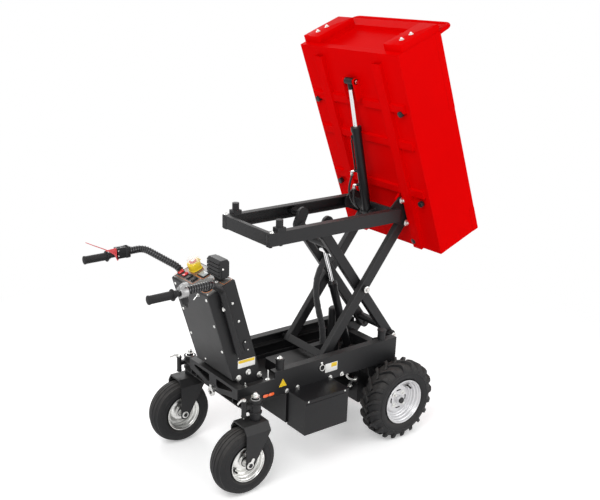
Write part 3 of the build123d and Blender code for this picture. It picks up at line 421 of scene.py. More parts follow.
def weave_group():
    """Weave: two crossed sine waves along the piece's own UV, one thread over the other turn about."""
    group, given, out = new_group(
        "Weave",
        {"Across": 40.0, "Along": 200.0},
        [("Height", "NodeSocketFloat"), ("Gaps", "NodeSocketFloat")],
    )
    along = wired(group, "ShaderNodeUVMap", uv_map="along").outputs[0]
    split = wired(group, "ShaderNodeSeparateXYZ", {0: along}).outputs
    waves = []
    for axis, label in ((0, "Across"), (1, "Along")):
        phase = math_node(group, "MULTIPLY", math_node(group, "MULTIPLY", split[axis], given[label]), TURN)
        waves.append(math_node(group, "SINE", phase))
    over = math_node(group, "MULTIPLY", waves[0], waves[1])
    height = math_node(group, "MULTIPLY_ADD", over, 0.5, 0.5)
    group.links.new(height, out.inputs["Height"])
    gaps = math_node(group, "LESS_THAN", math_node(group, "ABSOLUTE", over), 0.25)
    group.links.new(gaps, out.inputs["Gaps"])
    return group


GROUPS = {}
GROUP_MAKERS = {"Grain": grain_group, "Edges": edge_group, "Dust": dust_group, "Weave": weave_group}


def grouped(tree, name, **sockets):
    """Places a shared group with its own values; a socket's name is written with _ for each space."""
    if name not in GROUPS:
        GROUPS[name] = GROUP_MAKERS[name]()
    node = tree.nodes.new("ShaderNodeGroup")
    node.node_tree = GROUPS[name]
    for key, value in sockets.items():
        node.inputs[key.replace("_", " ")].default_value = value
    return node.outputs


# ------------------------------------------------------------------ finishes


def surface(name, roughness=0.5, metallic=0.0, **constants):
    """A material with an empty tree around its shader; constants go straight on the shader's sockets."""
    material = bpy.data.materials.new(name)
    material.use_nodes = True
    tree = material.node_tree
    shader = tree.nodes["Principled BSDF"]
    shader.inputs["Roughness"].default_value = roughness
    shader.inputs["Metallic"].default_value = metallic
    for key, value in constants.items():
        shader.inputs[key.replace("_", " ")].default_value = value
    FINISHES[name] = material
    return tree, shader


def bump(tree, shader, height, distance, strength=1.0, normal=None):
    """Feeds a height in metres of relief to the shader's normal."""
    sockets = {"Height": height, "Distance": distance, "Strength": strength}
    if normal is not None:
        sockets["Normal"] = normal
    made = wired(tree, "ShaderNodeBump", sockets)
    tree.links.new(made.outputs[0], shader.inputs["Normal"])


def shade(colour, factor):
    """A colour made lighter or darker."""
    return (*(min(1.0, channel * factor) for channel in colour[:3]), 1.0)


def varied(tree, shader, colour, low_factor, high_factor, tint):
    """Base colour that drifts between two shades of one colour with a slow tint."""
    mixed = blend_colour(tree, tint, shade(colour, low_factor), shade(colour, high_factor))
    tree.links.new(mixed, shader.inputs["Base Color"])


def roughened(tree, shader, tint, spread, least):
    """Roughness that drifts with a tint: spread times the tint, plus the least."""
    tree.links.new(math_node(tree, "MULTIPLY_ADD", tint, spread, least), shader.inputs["Roughness"])


def powder_coat(name, colour, roughness, painted_edge_highlight, relief):
    """Fine-grained coat on steel: a pebbled bump, softened corners with a painted highlight lightening their
    colour, and a little dust.
    """
    tree, shader = surface(name, roughness, Specular_IOR_Level=0.32)
    grain = grouped(tree, "Grain", Size=0.0016, Coarse_size=0.12, Coarse_share=0.1)
    edges = grouped(tree, "Edges", Radius=0.0022, Sharpness=2.5)
    dust = grouped(tree, "Dust", Amount=0.18, Patch_size=0.05)
    coat = blend_colour(tree, grain["Tint"], shade(colour, 0.8), shade(colour, 1.2))
    # Painted highlight: where the edge mask is, the colour is mixed towards four times its shade, lightening the
    # corners.
    with_painted_highlight = blend_colour(tree, math_node(tree, "MULTIPLY", edges["Mask"], painted_edge_highlight), coat, shade(colour, 4.0))
    dusty = blend_colour(tree, dust["Mask"], with_painted_highlight, (0.12, 0.115, 0.105, 1.0))
    tree.links.new(dusty, shader.inputs["Base Color"])
    rough = math_node(tree, "MULTIPLY_ADD", grain["Tint"], 0.12, roughness - 0.06)
    tree.links.new(math_node(tree, "ADD", rough, math_node(tree, "MULTIPLY", dust["Mask"], 0.3)),
                   shader.inputs["Roughness"])
    bump(tree, shader, grain["Height"], relief, 0.55, edges["Normal"])


def gloss_paint(name, colour):
    """Smooth enamel with a soft sheen, a slight orange-peel ripple and softened corners with a painted highlight
    lightening their colour.
    """
    tree, shader = surface(name, 0.5, IOR=1.06, Specular_IOR_Level=0.3)
    grain = grouped(tree, "Grain", Size=0.006, Coarse_size=0.22, Coarse_share=0.6)
    edges = grouped(tree, "Edges", Radius=0.0025, Sharpness=2.0)
    coat = blend_colour(tree, grain["Tint"], shade(colour, 0.93), shade(colour, 1.06))
    # Painted highlight: a lighter red is mixed in where the edge mask is.
    with_painted_highlight = blend_colour(tree, math_node(tree, "MULTIPLY", edges["Mask"], 0.1), coat, (1.0, 0.05, 0.04, 1.0))
    tree.links.new(with_painted_highlight, shader.inputs["Base Color"])
    roughened(tree, shader, grain["Tint"], 0.12, 0.28)
    bump(tree, shader, grain["Height"], 0.0004, 0.25, edges["Normal"])


def rubber(name, colour, roughness, relief, dust_amount):
    """Moulded rubber: fine pores, a dull bloom in patches and dust where it faces up."""
    tree, shader = surface(name, roughness, Specular_IOR_Level=0.28)
    grain = grouped(tree, "Grain", Size=0.0012, Coarse_size=0.03, Coarse_share=0.5)
    dust = grouped(tree, "Dust", Amount=dust_amount, Patch_size=0.02)
    bloom = blend_colour(tree, grain["Tint"], shade(colour, 0.7), shade(colour, 1.35))
    dusty = blend_colour(tree, dust["Mask"], bloom, (0.14, 0.13, 0.12, 1.0))
    tree.links.new(dusty, shader.inputs["Base Color"])
    roughened(tree, shader, grain["Tint"], 0.2, roughness - 0.1)
    bump(tree, shader, grain["Height"], relief, 0.6)


def bare_metal(name, colour, roughness, relief=0.0):
    """Plated or bare metal: a cloudy tint, and a fine grain where a relief is given."""
    tree, shader = surface(name, roughness, 1.0)
    grain = grouped(tree, "Grain", Size=0.0009, Coarse_size=0.012, Coarse_share=0.4)
    varied(tree, shader, colour, 0.86, 1.08, grain["Tint"])
    roughened(tree, shader, grain["Tint"], 0.16, roughness - 0.08)
    if relief:
        bump(tree, shader, grain["Height"], relief, 0.5)


def wheel_silver(name, colour):
    """Silver wheel paint: metal flake that glints a little, over a smooth base."""
    tree, shader = surface(name, 0.36, 0.55)
    grain = grouped(tree, "Grain", Size=0.0006, Coarse_size=0.05, Coarse_share=0.2)
    edges = grouped(tree, "Edges", Radius=0.0015, Sharpness=2.0)
    flake = blend_colour(tree, grain["Height"], shade(colour, 0.86), shade(colour, 1.1))
    tree.links.new(flake, shader.inputs["Base Color"])
    roughened(tree, shader, grain["Tint"], 0.15, 0.28)
    bump(tree, shader, grain["Height"], 0.00005, 0.3, edges["Normal"])


def moulded(name, colour, roughness=0.4, relief=0.00006, **constants):
    """Moulded plastic: a faint texture and a slow drift of shade."""
    tree, shader = surface(name, roughness, **constants)
    grain = grouped(tree, "Grain", Size=0.0009, Coarse_size=0.02, Coarse_share=0.3)
    varied(tree, shader, colour, 0.9, 1.1, grain["Tint"])
    roughened(tree, shader, grain["Tint"], 0.14, roughness - 0.07)
    bump(tree, shader, grain["Height"], relief, 0.5)


def clear_plastic(name):
    """See-through moulded cover with faint flow marks."""
    tree, shader = surface(name, 0.3, Alpha=0.16)
    grain = grouped(tree, "Grain", Size=0.004, Coarse_size=0.02, Coarse_share=0.5)
    varied(tree, shader, (0.95, 0.95, 0.93), 0.94, 1.04, grain["Tint"])
    bump(tree, shader, grain["Height"], 0.0002, 0.2)


def prism_reflector(name, colour):
    """Moulded reflector: small round cells under a gloss face, with a painted glow, since the cells' colour also
    feeds emission.
    """
    tree, shader = surface(name, 0.18, Coat_Weight=0.6, Coat_Roughness=0.05)
    place = wired(tree, "ShaderNodeTexCoord").outputs["Object"]
    cells = wired(tree, "ShaderNodeTexVoronoi", {"Vector": place, "Scale": 320.0}).outputs["Distance"]
    mixed = blend_colour(tree, cells, shade(colour, 1.25), shade(colour, 0.55))
    tree.links.new(mixed, shader.inputs["Base Color"])
    # Painted glow: the cells' colour also feeds emission, though the reflector is no lamp.
    tree.links.new(mixed, shader.inputs["Emission Color"])
    shader.inputs["Emission Strength"].default_value = 0.35
    bump(tree, shader, cells, 0.0005, 0.4)


def woven(name, colour):
    """Woven nylon sleeve: crossed threads with painted shade darkening the gaps between them, on the sleeve's own
    UV.
    """
    tree, shader = surface(name, 0.8, Sheen_Weight=0.35)
    weave = grouped(tree, "Weave", Across=18.0, Along=150.0)
    grain = grouped(tree, "Grain", Size=0.004, Coarse_size=0.05, Coarse_share=0.5)
    thread = blend_colour(tree, grain["Tint"], shade(colour, 0.75), shade(colour, 1.5))
    # Painted shade: the lines between threads are darkened to four tenths of the colour.
    tree.links.new(blend_colour(tree, weave["Gaps"], thread, shade(colour, 0.4)), shader.inputs["Base Color"])
    roughened(tree, shader, weave["Height"], 0.2, 0.62)
    bump(tree, shader, weave["Height"], 0.0006, 0.8)


def make_finishes(paint):
    """Every finish on the dumper, from the colours in the panel."""
    powder_coat("charcoal_coat", paint.frame_colour, 0.46, 0.5, 0.00022)
    gloss_paint("red_enamel", paint.bed_colour)
    rubber("tyre_rubber", paint.rubber_colour, 0.62, 0.0002, 0.55)
    rubber("grip_rubber", shade(paint.rubber_colour, 0.8), 0.6, 0.0001, 0.1)
    rubber("stop_rubber", shade(paint.rubber_colour, 0.7), 0.55, 0.0001, 0.2)
    wheel_silver("wheel_silver", paint.wheel_colour)
    bare_metal("zinc_plate", (0.78, 0.78, 0.76), 0.3, 0.00004)
    bare_metal("hard_chrome", (0.86, 0.86, 0.87), 0.12)
    bare_metal("cast_metal", (0.40, 0.40, 0.40), 0.4)
    moulded("black_plastic", (0.011, 0.011, 0.012), 0.42, Specular_IOR_Level=0.35)
    moulded("gloss_black", (0.012, 0.012, 0.014), 0.16)
    moulded("satin_black", (0.008, 0.008, 0.009), 0.34, Specular_IOR_Level=0.25)
    moulded("panel_orange", (0.75, 0.2, 0.03), 0.35)
    moulded("switch_red", (0.62, 0.012, 0.012), 0.25, Coat_Weight=0.3)
    moulded("guard_yellow", paint.guard_colour, 0.3, Coat_Weight=0.4)
    moulded("display_grey", (0.36, 0.38, 0.38), 0.2)
    moulded("label_white", (0.86, 0.86, 0.84), 0.4)
    moulded("label_yellow", (0.86, 0.58, 0.02), 0.4)
    moulded("panel_face", (0.10, 0.095, 0.088), 0.32)
    moulded("wrap_black", (0.02, 0.02, 0.022), 0.2, Coat_Weight=0.4)
    moulded("lever_red", (0.60, 0.05, 0.055), 0.3, Coat_Weight=0.3)
    moulded("hose_rubber", (0.014, 0.014, 0.015), 0.4)
    clear_plastic("clear_cover")
    prism_reflector("reflector_orange", (0.95, 0.13, 0.03))
    woven("woven_nylon", (0.022, 0.022, 0.024))


# The finish that stands for each of the record's slots.
SLOT_FINISH = {
    "tyre": "tyre_rubber",
    "silver_rim": "wheel_silver",
    "zinc": "zinc_plate",
    "black_paint": "charcoal_coat",
    "yellow_plastic": "guard_yellow",
    "black_plastic": "black_plastic",
    "grip_rubber": "grip_rubber",
    "woven_sleeve": "woven_nylon",
    "chrome": "hard_chrome",
    "red_paint": "red_enamel",
}

# Nodes whose finish differs from the rest of their slot.
NODE_FINISH = {"battery_box": "satin_black", "tip_barrel": "satin_black", "lift_barrel": "satin_black"}


def finish_frame():
    """Gives each CAD node its finish, on its object's own material slots."""
    for part in frame["record"]["subparts"]:
        finish = NODE_FINISH.get(part["node"], SLOT_FINISH[part["material_slot"]])
        for holder in frame["nodes"][part["node"]].material_slots:
            holder.material = FINISHES[finish]


# ------------------------------------------------------------------ drive tyres

LUG_TOP = high("drive_tyre_l")[2] / 2 - 0.0006
TYRE_HALF = (high("drive_tyre_l")[1] - low("drive_tyre_l")[1]) / 2 - 0.0005
BEAD = (high("drive_rim_l")[2] - low("drive_rim_l")[2]) / 2 - 0.006
# Radii of the moulded rings on the walls of the drive and castor tyres.
WALL_RIDGE, WALL_RING = 0.149, 0.118


def wheel_matrix(centre, side):
    """Stands a wheel's own +Z along its axle, pointing away from the dumper."""
    return stand(centre, (0, side, 0), UP)


def carcass_profile(crown, half, bead):
    """Closed outline (radius, height) of a tyre: rounded tread, bulged walls and turned-in beads."""
    shoulder = crown - 0.012
    wall = (crown + bead) / 2 - 0.004
    right = [
        (crown, 0), (crown - 0.0006, 0.35 * half), (crown - 0.003, 0.62 * half), (shoulder, 0.84 * half),
        (shoulder - 0.012, 0.95 * half), (wall, half), (wall - 0.016, 0.985 * half),
        (bead + 0.012, 0.9 * half), (bead + 0.004, 0.83 * half), (bead, 0.76 * half),
        (bead - 0.002, 0.7 * half), (bead + 0.002, 0.66 * half),
    ]
    left = [(radius, -height) for radius, height in right[:0:-1]]
    return np.array(right + left)


def hoop(profile, turns):
    """Ring-shaped skin: the closed outline (r, z) at angle a is (r cos a, r sin a, z)."""
    angle = np.arange(turns)[:, None] * TURN / turns
    radius, height = profile[None, :, 0], profile[None, :, 1]
    rings = np.stack([radius * np.cos(angle), radius * np.sin(angle), height + 0 * angle], 2)
    return loft(rings, hoop=True)


def rolled(u, v, w, crown):
    """Tread coordinates to space: u round the tyre, v across it and w out of it. The floor under w follows
    the carcass, which falls away from the crown as v nears the shoulder."""
    bend = np.clip(np.abs(v) / TYRE_HALF - 0.6, 0, None)
    radius = crown - 0.10 * bend ** 2 * (1 + 2 * bend) + w
    angle = u / crown
    return np.stack([radius * np.cos(angle), radius * np.sin(angle), v], -1)


def lug(tread, crown, hand):
    """One curved lug. Its middle line runs back as it goes from the tread's middle to the shoulder, fast at
    first: u = 46 mm (1 - (1 - s)^1.9). Its section is a trapezoid, and its outer end slopes to the wall."""
    s = np.linspace(0, 1, 15)
    across = hand * (-0.004 + s * (TYRE_HALF + 0.002))
    back = 0.046 * (1 - (1 - s) ** 1.9)
    top_half = tread.lug_width / 2 * (0.75 + 0.5 * s)
    foot_half = top_half + 0.0035
    height = tread.lug_height * np.clip((1.08 - s) / 0.16, 0.15, 1) * np.clip((s + 0.06) / 0.08, 0.4, 1)
    sunk = -0.006 + 0 * s
    side = [(foot_half, sunk), (top_half + 0.0008, height - 0.0012), (top_half - 0.0006, height)]
    corners = side + [(-half, lift) for half, lift in side[::-1]]
    rings = [rolled(back + half, across, lift, crown) for half, lift in corners]
    return loft(np.stack(rings, 1))


def wall_ring(radius, thick, height, turns):
    """Moulded ring on each wall of a tyre: a small circle carried round the axle."""
    ridge = hoop(np.array([(radius, height)]) + thick * circle(1, 8)[:, :2], turns)
    return [ridge, moved(ridge, OVER)]


def make_drive_tyres(tread):
    """Carcass, two staggered rows of lugs, and a ridge on each wall."""
    crown = LUG_TOP - tread.lug_height
    step = TURN / tread.lugs
    body = hoop(carcass_profile(crown, TYRE_HALF, BEAD), 120)
    turns = [about((0, 0, 0), UP, k * step) for k in range(tread.lugs)]
    half_turns = [about((0, 0, 0), UP, (k + 0.5) * step) for k in range(tread.lugs)]
    rows = [repeated(lug(tread, crown, 1), turns), repeated(lug(tread, crown, -1), half_turns)]
    tyre = joined(body, *rows, *wall_ring(WALL_RIDGE, 0.0022, TYRE_HALF - 0.001, 96))
    for side, end in ENDS:
        flip = np.diag([1.0, float(side), 1.0, 1.0])
        matrix = wheel_matrix(PIVOTS["drive_wheel_spin_" + end], side) @ flip
        piece("drive_tread_" + end, "drive_wheel_" + end, "tyre_rubber", [moved(tyre, matrix)],
              replaces=["drive_tyre_" + end], crease=32)


# ------------------------------------------------------------------ castor tyres


def ribbed_profile(crown, half, bead, grooves, depth):
    """Tyre outline whose tread is cut by evenly spaced grooves: the radius drops by depth in each."""
    outline = carcass_profile(crown, half, bead)
    span = 0.68 * half
    z = np.linspace(-span, span, 16 * grooves + 1)
    phase = (z / span + 1) / 2 * grooves
    cut = depth * np.clip(1.6 - np.abs((phase % 1) - 0.5) * 12, 0, 1)
    radius = crown - 0.0125 * (np.abs(z) / span) ** 2.2 - cut
    walls = outline[(np.abs(outline[:, 1]) > span * 1.05)]
    upper, lower = walls[walls[:, 1] > 0], walls[walls[:, 1] < 0]
    tread = np.column_stack([radius, z])
    return np.vstack([tread, upper, lower])


def make_castor_tyres(tread):
    """Ribbed tyres with a moulded ring on each wall."""
    crown = high("castor_tyre_l")[2] / 2 - 0.0005
    half = (high("castor_tyre_l")[1] - low("castor_tyre_l")[1]) / 2 - 0.0005
    bead = (high("castor_rim_l")[2] - low("castor_rim_l")[2]) / 2 - 0.006
    profile = ribbed_profile(crown, half, bead, tread.grooves, tread.groove_depth)
    body = hoop(profile, 112)
    tyre = joined(body, *wall_ring(WALL_RING, 0.0018, half - 0.0012, 80))
    for side, end in ENDS:
        matrix = wheel_matrix(PIVOTS["castor_wheel_spin_" + end], side)
        piece("castor_tread_" + end, "castor_wheel_" + end, "tyre_rubber", [moved(tyre, matrix)],
              replaces=["castor_tyre_" + end], crease=32)


# ------------------------------------------------------------------ places


def mm(*values):
    """Millimetres made metres."""
    return np.array(values, float) * MM


def put(skin, place, axis=UP, along=None):
    """The skin with its foot at a place in millimetres, its own +Z along axis."""
    return moved(skin, stand(mm(*place), axis, along))


def coated(finish, *skins):
    """The skins, each paired with one finish."""
    return [(skin, finish) for skin in skins]


def shell(face, thickness):
    """Closed outline of a pressed sheet: the face's points, then the same points set back along its
    normal."""
    face = np.array(face, float) * MM
    run = np.gradient(face, axis=0)
    run /= np.linalg.norm(run, axis=1, keepdims=True)
    back = face + thickness * MM * np.stack([run[:, 1], -run[:, 0]], 1)
    return np.vstack([face, back[::-1]])


def spun(profile, corners=32):
    """Solid of revolution from a profile in millimetres."""
    return turned([(radius * MM, height * MM) for radius, height in profile], corners)


def ring(radius, thick, turns=40, height=0.0):
    """Round ring about local +Z: a small circle carried round a large one, in millimetres."""
    return hoop((np.array([(radius, height)]) + thick * circle(1.0, 10)[:, :2]) * MM, turns)


def bent(points, radius, steps=8):
    """Middle line of a bent tube, in metres: straight runs joined by arcs tangent to both, from points in
    millimetres. At a corner the arc's centre is radius / sin(half the angle) along the bisector."""
    points = np.array(points, float) * MM
    radius *= MM
    line = [points[0]]
    for before, corner, after in zip(points, points[1:], points[2:]):
        a, b = before - corner, after - corner
        a, b = a / np.linalg.norm(a), b / np.linalg.norm(b)
        half = math.acos(float(a @ b)) / 2
        middle = (a + b) / np.linalg.norm(a + b)
        centre = corner + middle * radius / math.sin(half)
        reach = radius / math.tan(half)
        start, end = corner + a * reach - centre, corner + b * reach - centre
        turn = math.pi - 2 * half
        t = np.linspace(0, 1, steps + 1)[:, None]
        line += list(centre + (np.sin((1 - t) * turn) * start + np.sin(t * turn) * end) / math.sin(turn))
    return np.vstack([line, points[-1:]])


def even(path, step):
    """Points every step along a line, by linear reading of its length."""
    length = np.concatenate([[0], np.cumsum(np.linalg.norm(np.diff(path, axis=0), axis=1))])
    at = np.linspace(0, length[-1], max(2, round(length[-1] / step) + 1))
    return np.stack([np.interp(at, length, path[:, k]) for k in range(3)], 1)


# Pivots and faces of the frame, in millimetres.
FOOT = PIVOTS["scissor_lift"] / MM
MIDDLE = PIVOTS["scissor_middle"] / MM
HEAD = PIVOTS["platform_level"] / MM
HINGE = PIVOTS["bed_tip"] / MM
RAIL_FACE = -low("side_rail_r")[1] / MM
DECK_TOP = high("deck_front_bar")[2] / MM + 5
DECK_BOTTOM = low("deck_rear_bar")[2] / MM

# ------------------------------------------------------------------ wheels' metal

# Rims as (radius, height) from the wheel's middle plane, in millimetres; height grows away from the dumper.
DRIVE_BARREL = (
    (112.2, 54.0), (111.8, 56.2), (110.4, 57.4), (108.4, 57.4), (106.8, 56.0), (106.0, 53.2), (105.4, 47.8),
    (104.2, 45.8), (101.6, 44.8), (100.2, 43.4), (99.6, 41.2), (99.2, 33.6), (98.2, 31.8), (94.6, 30.6),
    (92.8, 29.0), (92.2, 26.6), (91.8, 18.6), (90.6, 17.0), (87.4, 16.2), (86.2, 14.6), (85.8, 12.0),
    (85.8, -18.0), (88.0, -22.0), (98.0, -32.0), (99.6, -41.0), (105.4, -47.8), (106.4, -54.0),
    (110.4, -57.2), (112.2, -54.0),
)
DRIVE_DISC = (
    (86.0, 13.0), (84.6, 9.0), (82.0, 6.4), (78.6, 5.6), (75.2, 6.6), (72.6, 9.6), (69.6, 12.4), (65.0, 13.6),
    (48.0, 13.8), (44.6, 14.6), (42.0, 16.2), (24.0, 16.2), (15.5, 16.2),
)
DRIVE_HUB = ((30.0, 13.0), (30.0, 17.6), (28.6, 19.0), (23.4, 19.4), (22.6, 20.4), (22.2, 28.0), (21.0, 29.8),
             (17.8, 30.0), (17.4, 33.4), (16.2, 34.8), (0.0, 35.2))
HUB_BACK = ((15.6, -52.0), (33.0, -52.0), (34.0, -50.5), (34.0, -12.0), (36.5, -8.0), (36.5, 13.0),
            (15.6, 13.0))
# The studs' ring on the disc and its height, the same for the short slots between them, and the valve.
STUDS, STUD_RING, STUD_FACE = 4, 38.0, 16.4
SLOT_RING, SLOT_FACE, SLOT_SWEEP = 46.5, 14.4, 0.3
DRIVE_VALVE, DRIVE_VALVE_TURN = (82.0, 0, 12.0), 0.87

CASTOR_BARREL = (
    (85.8, 45.6), (85.4, 47.4), (84.0, 48.2), (82.4, 47.8), (81.2, 46.0), (80.6, 42.0), (79.4, 40.4),
    (76.8, 39.6), (75.6, 38.0), (75.0, 35.6), (74.6, 26.0), (73.4, 24.2), (70.4, 23.2), (69.0, 21.4),
    (68.6, 19.0), (68.4, 0.0),
)
CASTOR_DISC = ((68.6, 8.0), (66.6, 4.4), (63.0, 3.0), (58.6, 4.4), (54.0, 8.4), (48.0, 13.8), (42.0, 17.0),
               (36.0, 18.0), (29.0, 18.0), (27.4, 19.4), (26.6, 23.0), (24.4, 24.6), (11.0, 24.6))
CASTOR_SPACER = ((11.0, 24.0), (18.6, 24.0), (18.6, 29.0), (16.4, 30.4), (16.4, 44.0), (15.4, 45.4),
                 (11.0, 45.4))
CASTOR_VALVE, CASTOR_VALVE_TURN = (63.0, 0, 5.0), -2.3
# From a castor wheel's middle to the outside of its fork's legs.
FORK_FACE = 62.2


def mirrored_outline(face):
    """Closed outline of a web: the points of its right face, then the same with their heights turned over."""
    face = np.array(face, float) * MM
    return np.vstack([face, face[::-1] * (1, -1)])


def valve(place, lean, length=26.0):
    """Rubber valve stem with a ribbed cap, along +Z from a place in millimetres and leaning to the axle."""
    radius = np.linspace(3.4, 4.0, 4)
    parts = []
    for heights, radii in ((np.linspace(-4, 0.6 * length, 4), (5.4, 4.6, *radius[2:])),
                           (np.linspace(0.6, 1, 5) * length, (4.6, 4.6, 4.2, 4.6, 3.4))):
        line = np.array([(place[0] - lean * h / length, place[1], place[2] + h) for h in heights])
        parts.append(tube(line * MM, np.array(radii) * MM, 12, up=LEFT))
    return joined(*parts)


def make_drive_rims():
    """Stepped silver rim with a dished disc, a capped hub, four studs on black discs of painted shade where the
    recesses are, black strips of painted shade in the slots, and a valve.
    """
    barrel = hoop(shell(DRIVE_BARREL, -2.4), 96)
    disc = hoop(shell(DRIVE_DISC, -3.0), 96)
    ring_turns = [about((0, 0, 0), UP, (k + 0.5) * TURN / STUDS) for k in range(STUDS)]
    between = [about((0, 0, 0), UP, k * TURN / STUDS) for k in range(STUDS)]
    stud = put(nut_on_stud(0.0135, 0.006), (STUD_RING, 0, STUD_FACE))
    painted_recess_shade = put(spun([(10.6, 0), (10.6, 0.5), (9.8, 0.9), (0, 0.9)], 28), (STUD_RING, 0, STUD_FACE - 0.5))
    slot = np.array([(SLOT_RING * math.cos(a), SLOT_RING * math.sin(a), SLOT_FACE)
                     for a in np.linspace(-SLOT_SWEEP, SLOT_SWEEP, 9)])
    painted_slot_shade = tube(slot * MM, np.array([1.6, *[3.2] * 7, 1.6]) * MM, 10)
    for side, end in ENDS:
        matrix = wheel_matrix(PIVOTS["drive_wheel_spin_" + end], side)
        stem = moved(valve(DRIVE_VALVE, 5.0), about((0, 0, 0), UP, side * DRIVE_VALVE_TURN))
        metal = [barrel, disc, spun(DRIVE_HUB, 40), hoop(np.array(HUB_BACK) * MM, 48)]
        pairs = coated("wheel_silver", *metal)
        # Painted shade: black discs round the studs stand for their recesses, and black strips stand for the
        # slots.
        pairs += coated("gloss_black", repeated(painted_recess_shade, ring_turns), repeated(painted_slot_shade, between))
        pairs += coated("zinc_plate", repeated(stud, ring_turns)) + coated("stop_rubber", stem)
        piece("drive_rim_metal_" + end, "drive_wheel_" + end, "wheel_silver",
              [(moved(skin, matrix), finish) for skin, finish in pairs],
              replaces=["drive_rim_" + end], crease=40)


def make_castor_rims():
    """Zinc rim dished alike on both faces, with seals, spacers and a valve."""
    half = np.array(CASTOR_BARREL + tuple((r, -z) for r, z in CASTOR_BARREL[-2::-1]))
    barrel, web = hoop(shell(half, -2.0), 80), hoop(mirrored_outline(CASTOR_DISC), 80)
    spacer = hoop(np.array(CASTOR_SPACER) * MM, 40)
    seal = ring(21.0, 2.0, 36, 25.0)
    for side, end in ENDS:
        matrix = wheel_matrix(PIVOTS["castor_wheel_spin_" + end], side)
        stem = moved(valve(CASTOR_VALVE, 3.0, 24.0), about((0, 0, 0), UP, side * CASTOR_VALVE_TURN))
        pairs = coated("zinc_plate", barrel, web, spacer, moved(spacer, OVER))
        pairs += coated("stop_rubber", seal, moved(seal, OVER), stem)
        piece("castor_rim_metal_" + end, "castor_wheel_" + end, "zinc_plate",
              [(moved(skin, matrix), finish) for skin, finish in pairs],
              replaces=["castor_rim_" + end], crease=40)


# A castor's swivel lock: how far behind the stem it stands, and the heights of its lever and its foot.
LOCK_BACK, LOCK_TOP, LOCK_FOOT = 60.0, 436.0, 361.0


def lock_lever():
    """Cast handle of a swivel lock: a cranked flat bar on a collar, along local +X, in metres."""
    path = mm((0, 0, 5), (8, 0, 6), (18, 0, 9), (30, 0, 8), (46, 0, 3))
    bar = sweep(smooth_path(path, 4), rounded(0.013, 0.005, 0.002), LEFT, np.linspace(1.15, 0.8, 17))
    return joined(bar, spun([(9.5, 0), (9.5, 6), (8, 8.5), (5, 9.5), (0, 9.5)], 24))


def make_castor_hardware():
    """Axle nuts and their lock plates on the forks, acorn nuts over the stems, and the swivel locks."""
    nut = [spun([(17, 0), (17, 1.2), (16.4, 1.7), (0, 1.7)], 28), ring(12.2, 1.6, 28, 2.2),
           prism(hexagon(0.019), 0.0046, 0.0006, 2)]
    plate = prism(rounded(0.034, 0.015, 0.007), 0.0024, 0.0006, 2)
    cap = spun([(21, 0), (21, 1.6), (20, 2.4), (0, 2.4)], 32)
    pin = spun([(4.5, 0), (4.5, 9), (3.2, 12), (0, 12)], 16)
    for side, end in ENDS:
        axle = PIVOTS["castor_wheel_spin_" + end] / MM
        stem = PIVOTS["castor_swivel_" + end] / MM
        out = (0, side, 0)
        parts = [put(skin, axle + (0, face * FORK_FACE, 0), (0, face, 0))
                 for face in (side, -side) for skin in nut]
        parts.append(put(plate, axle + (9, side * (FORK_FACE + 0.2), 16), out, (0.5, 0, 0.87)))
        parts.append(put(cap_screw(0.0042, 0.0036), axle + (14, side * (FORK_FACE + 0.8), 25), out))
        top = high("castor_fork_" + end)[2] / MM
        parts.append(put(cap, (stem[0], stem[1], top - 15.5)))
        parts.append(put(dome_nut(0.021), (stem[0], stem[1], top - 1.5)))
        piece("castor_nuts_" + end, "castor_" + end, "zinc_plate", parts)
        lock = (stem[0] - LOCK_BACK, stem[1])
        lever = put(lock_lever(), (*lock, LOCK_TOP), UP, (-0.94, 0.34 * side, 0))
        collar = [put(ring(11.6, 1.4, 30), (*lock, z)) for z in (LOCK_FOOT + 3, LOCK_TOP - 4)]
        pairs = coated("zinc_plate", lever, put(pin, (*lock, LOCK_FOOT), DOWN))
        pairs += coated("charcoal_coat", *collar)
        piece("swivel_lock_" + end, "chassis", "zinc_plate", pairs)


# ------------------------------------------------------------------ console

# The console's sloping top, its rear face and its sides, in millimetres.
PANEL_FOOT, PANEL_HEAD = np.array((-534.0, 0.0, 893.0)), np.array((-399.0, 0.0, 947.0))
REAR_TOP, REAR_FOOT = PANEL_FOOT, np.array((-402.0, 0.0, 473.0))
CONSOLE_SIDE = 148.0
PANEL_LENGTH = float(np.linalg.norm(PANEL_HEAD - PANEL_FOOT))
PANEL_UP = (PANEL_HEAD - PANEL_FOOT) / PANEL_LENGTH
PANEL_OUT = np.cross(PANEL_UP, LEFT)
REAR_DOWN = (REAR_FOOT - REAR_TOP) / np.linalg.norm(REAR_FOOT - REAR_TOP)
REAR_OUT = np.cross(REAR_DOWN, LEFT) * -1
PLATE_LIFT = 0.9          # face plate's thickness on the panel

ROCKERS = ((134.0, "switch_red"), (97.0, "switch_red"), (60.0, "black_plastic"), (22.0, "black_plastic"))
ROCKER_UP = 44.0
SCREEN = (91.0, 17.0)
PORT = (34.0, -98.0)
STOP_PLACE = (100.0, 95.0)
LAMP_FOOT = (100.0, -85.0)
# Orange lines on the panel: up, y, length and width.
OUTLINES = ((ROCKER_UP, 78, 47, 152), (90, 17, 42, 60), (117, -99, 44, 82), (97, 98, 46, 84))
PANEL_SCREWS = [(up, side * 136) for up in (9, PANEL_LENGTH - 9) for side in (-1, 1)]
TOGGLE = (16.0, -70.0)
# Fittings on the console's sides, as (x, z), and those on its rear cover by how far down they stand.
COVER_SCREWS = (25, 158, 292)
SIDE_SCREWS = ((-408, 838), (-375, 749))
FOOT_BOLTS = ((-373, 479), (-321, 495), (-260, 468))
SIDE_PORT, SIDE_PORT_SCREWS, SIDE_LEAN = (-334, 626), ((-342, 646), (-326, 606)), (-0.36, 0, 0.93)
CONSOLE_LABEL = (-331, 543)


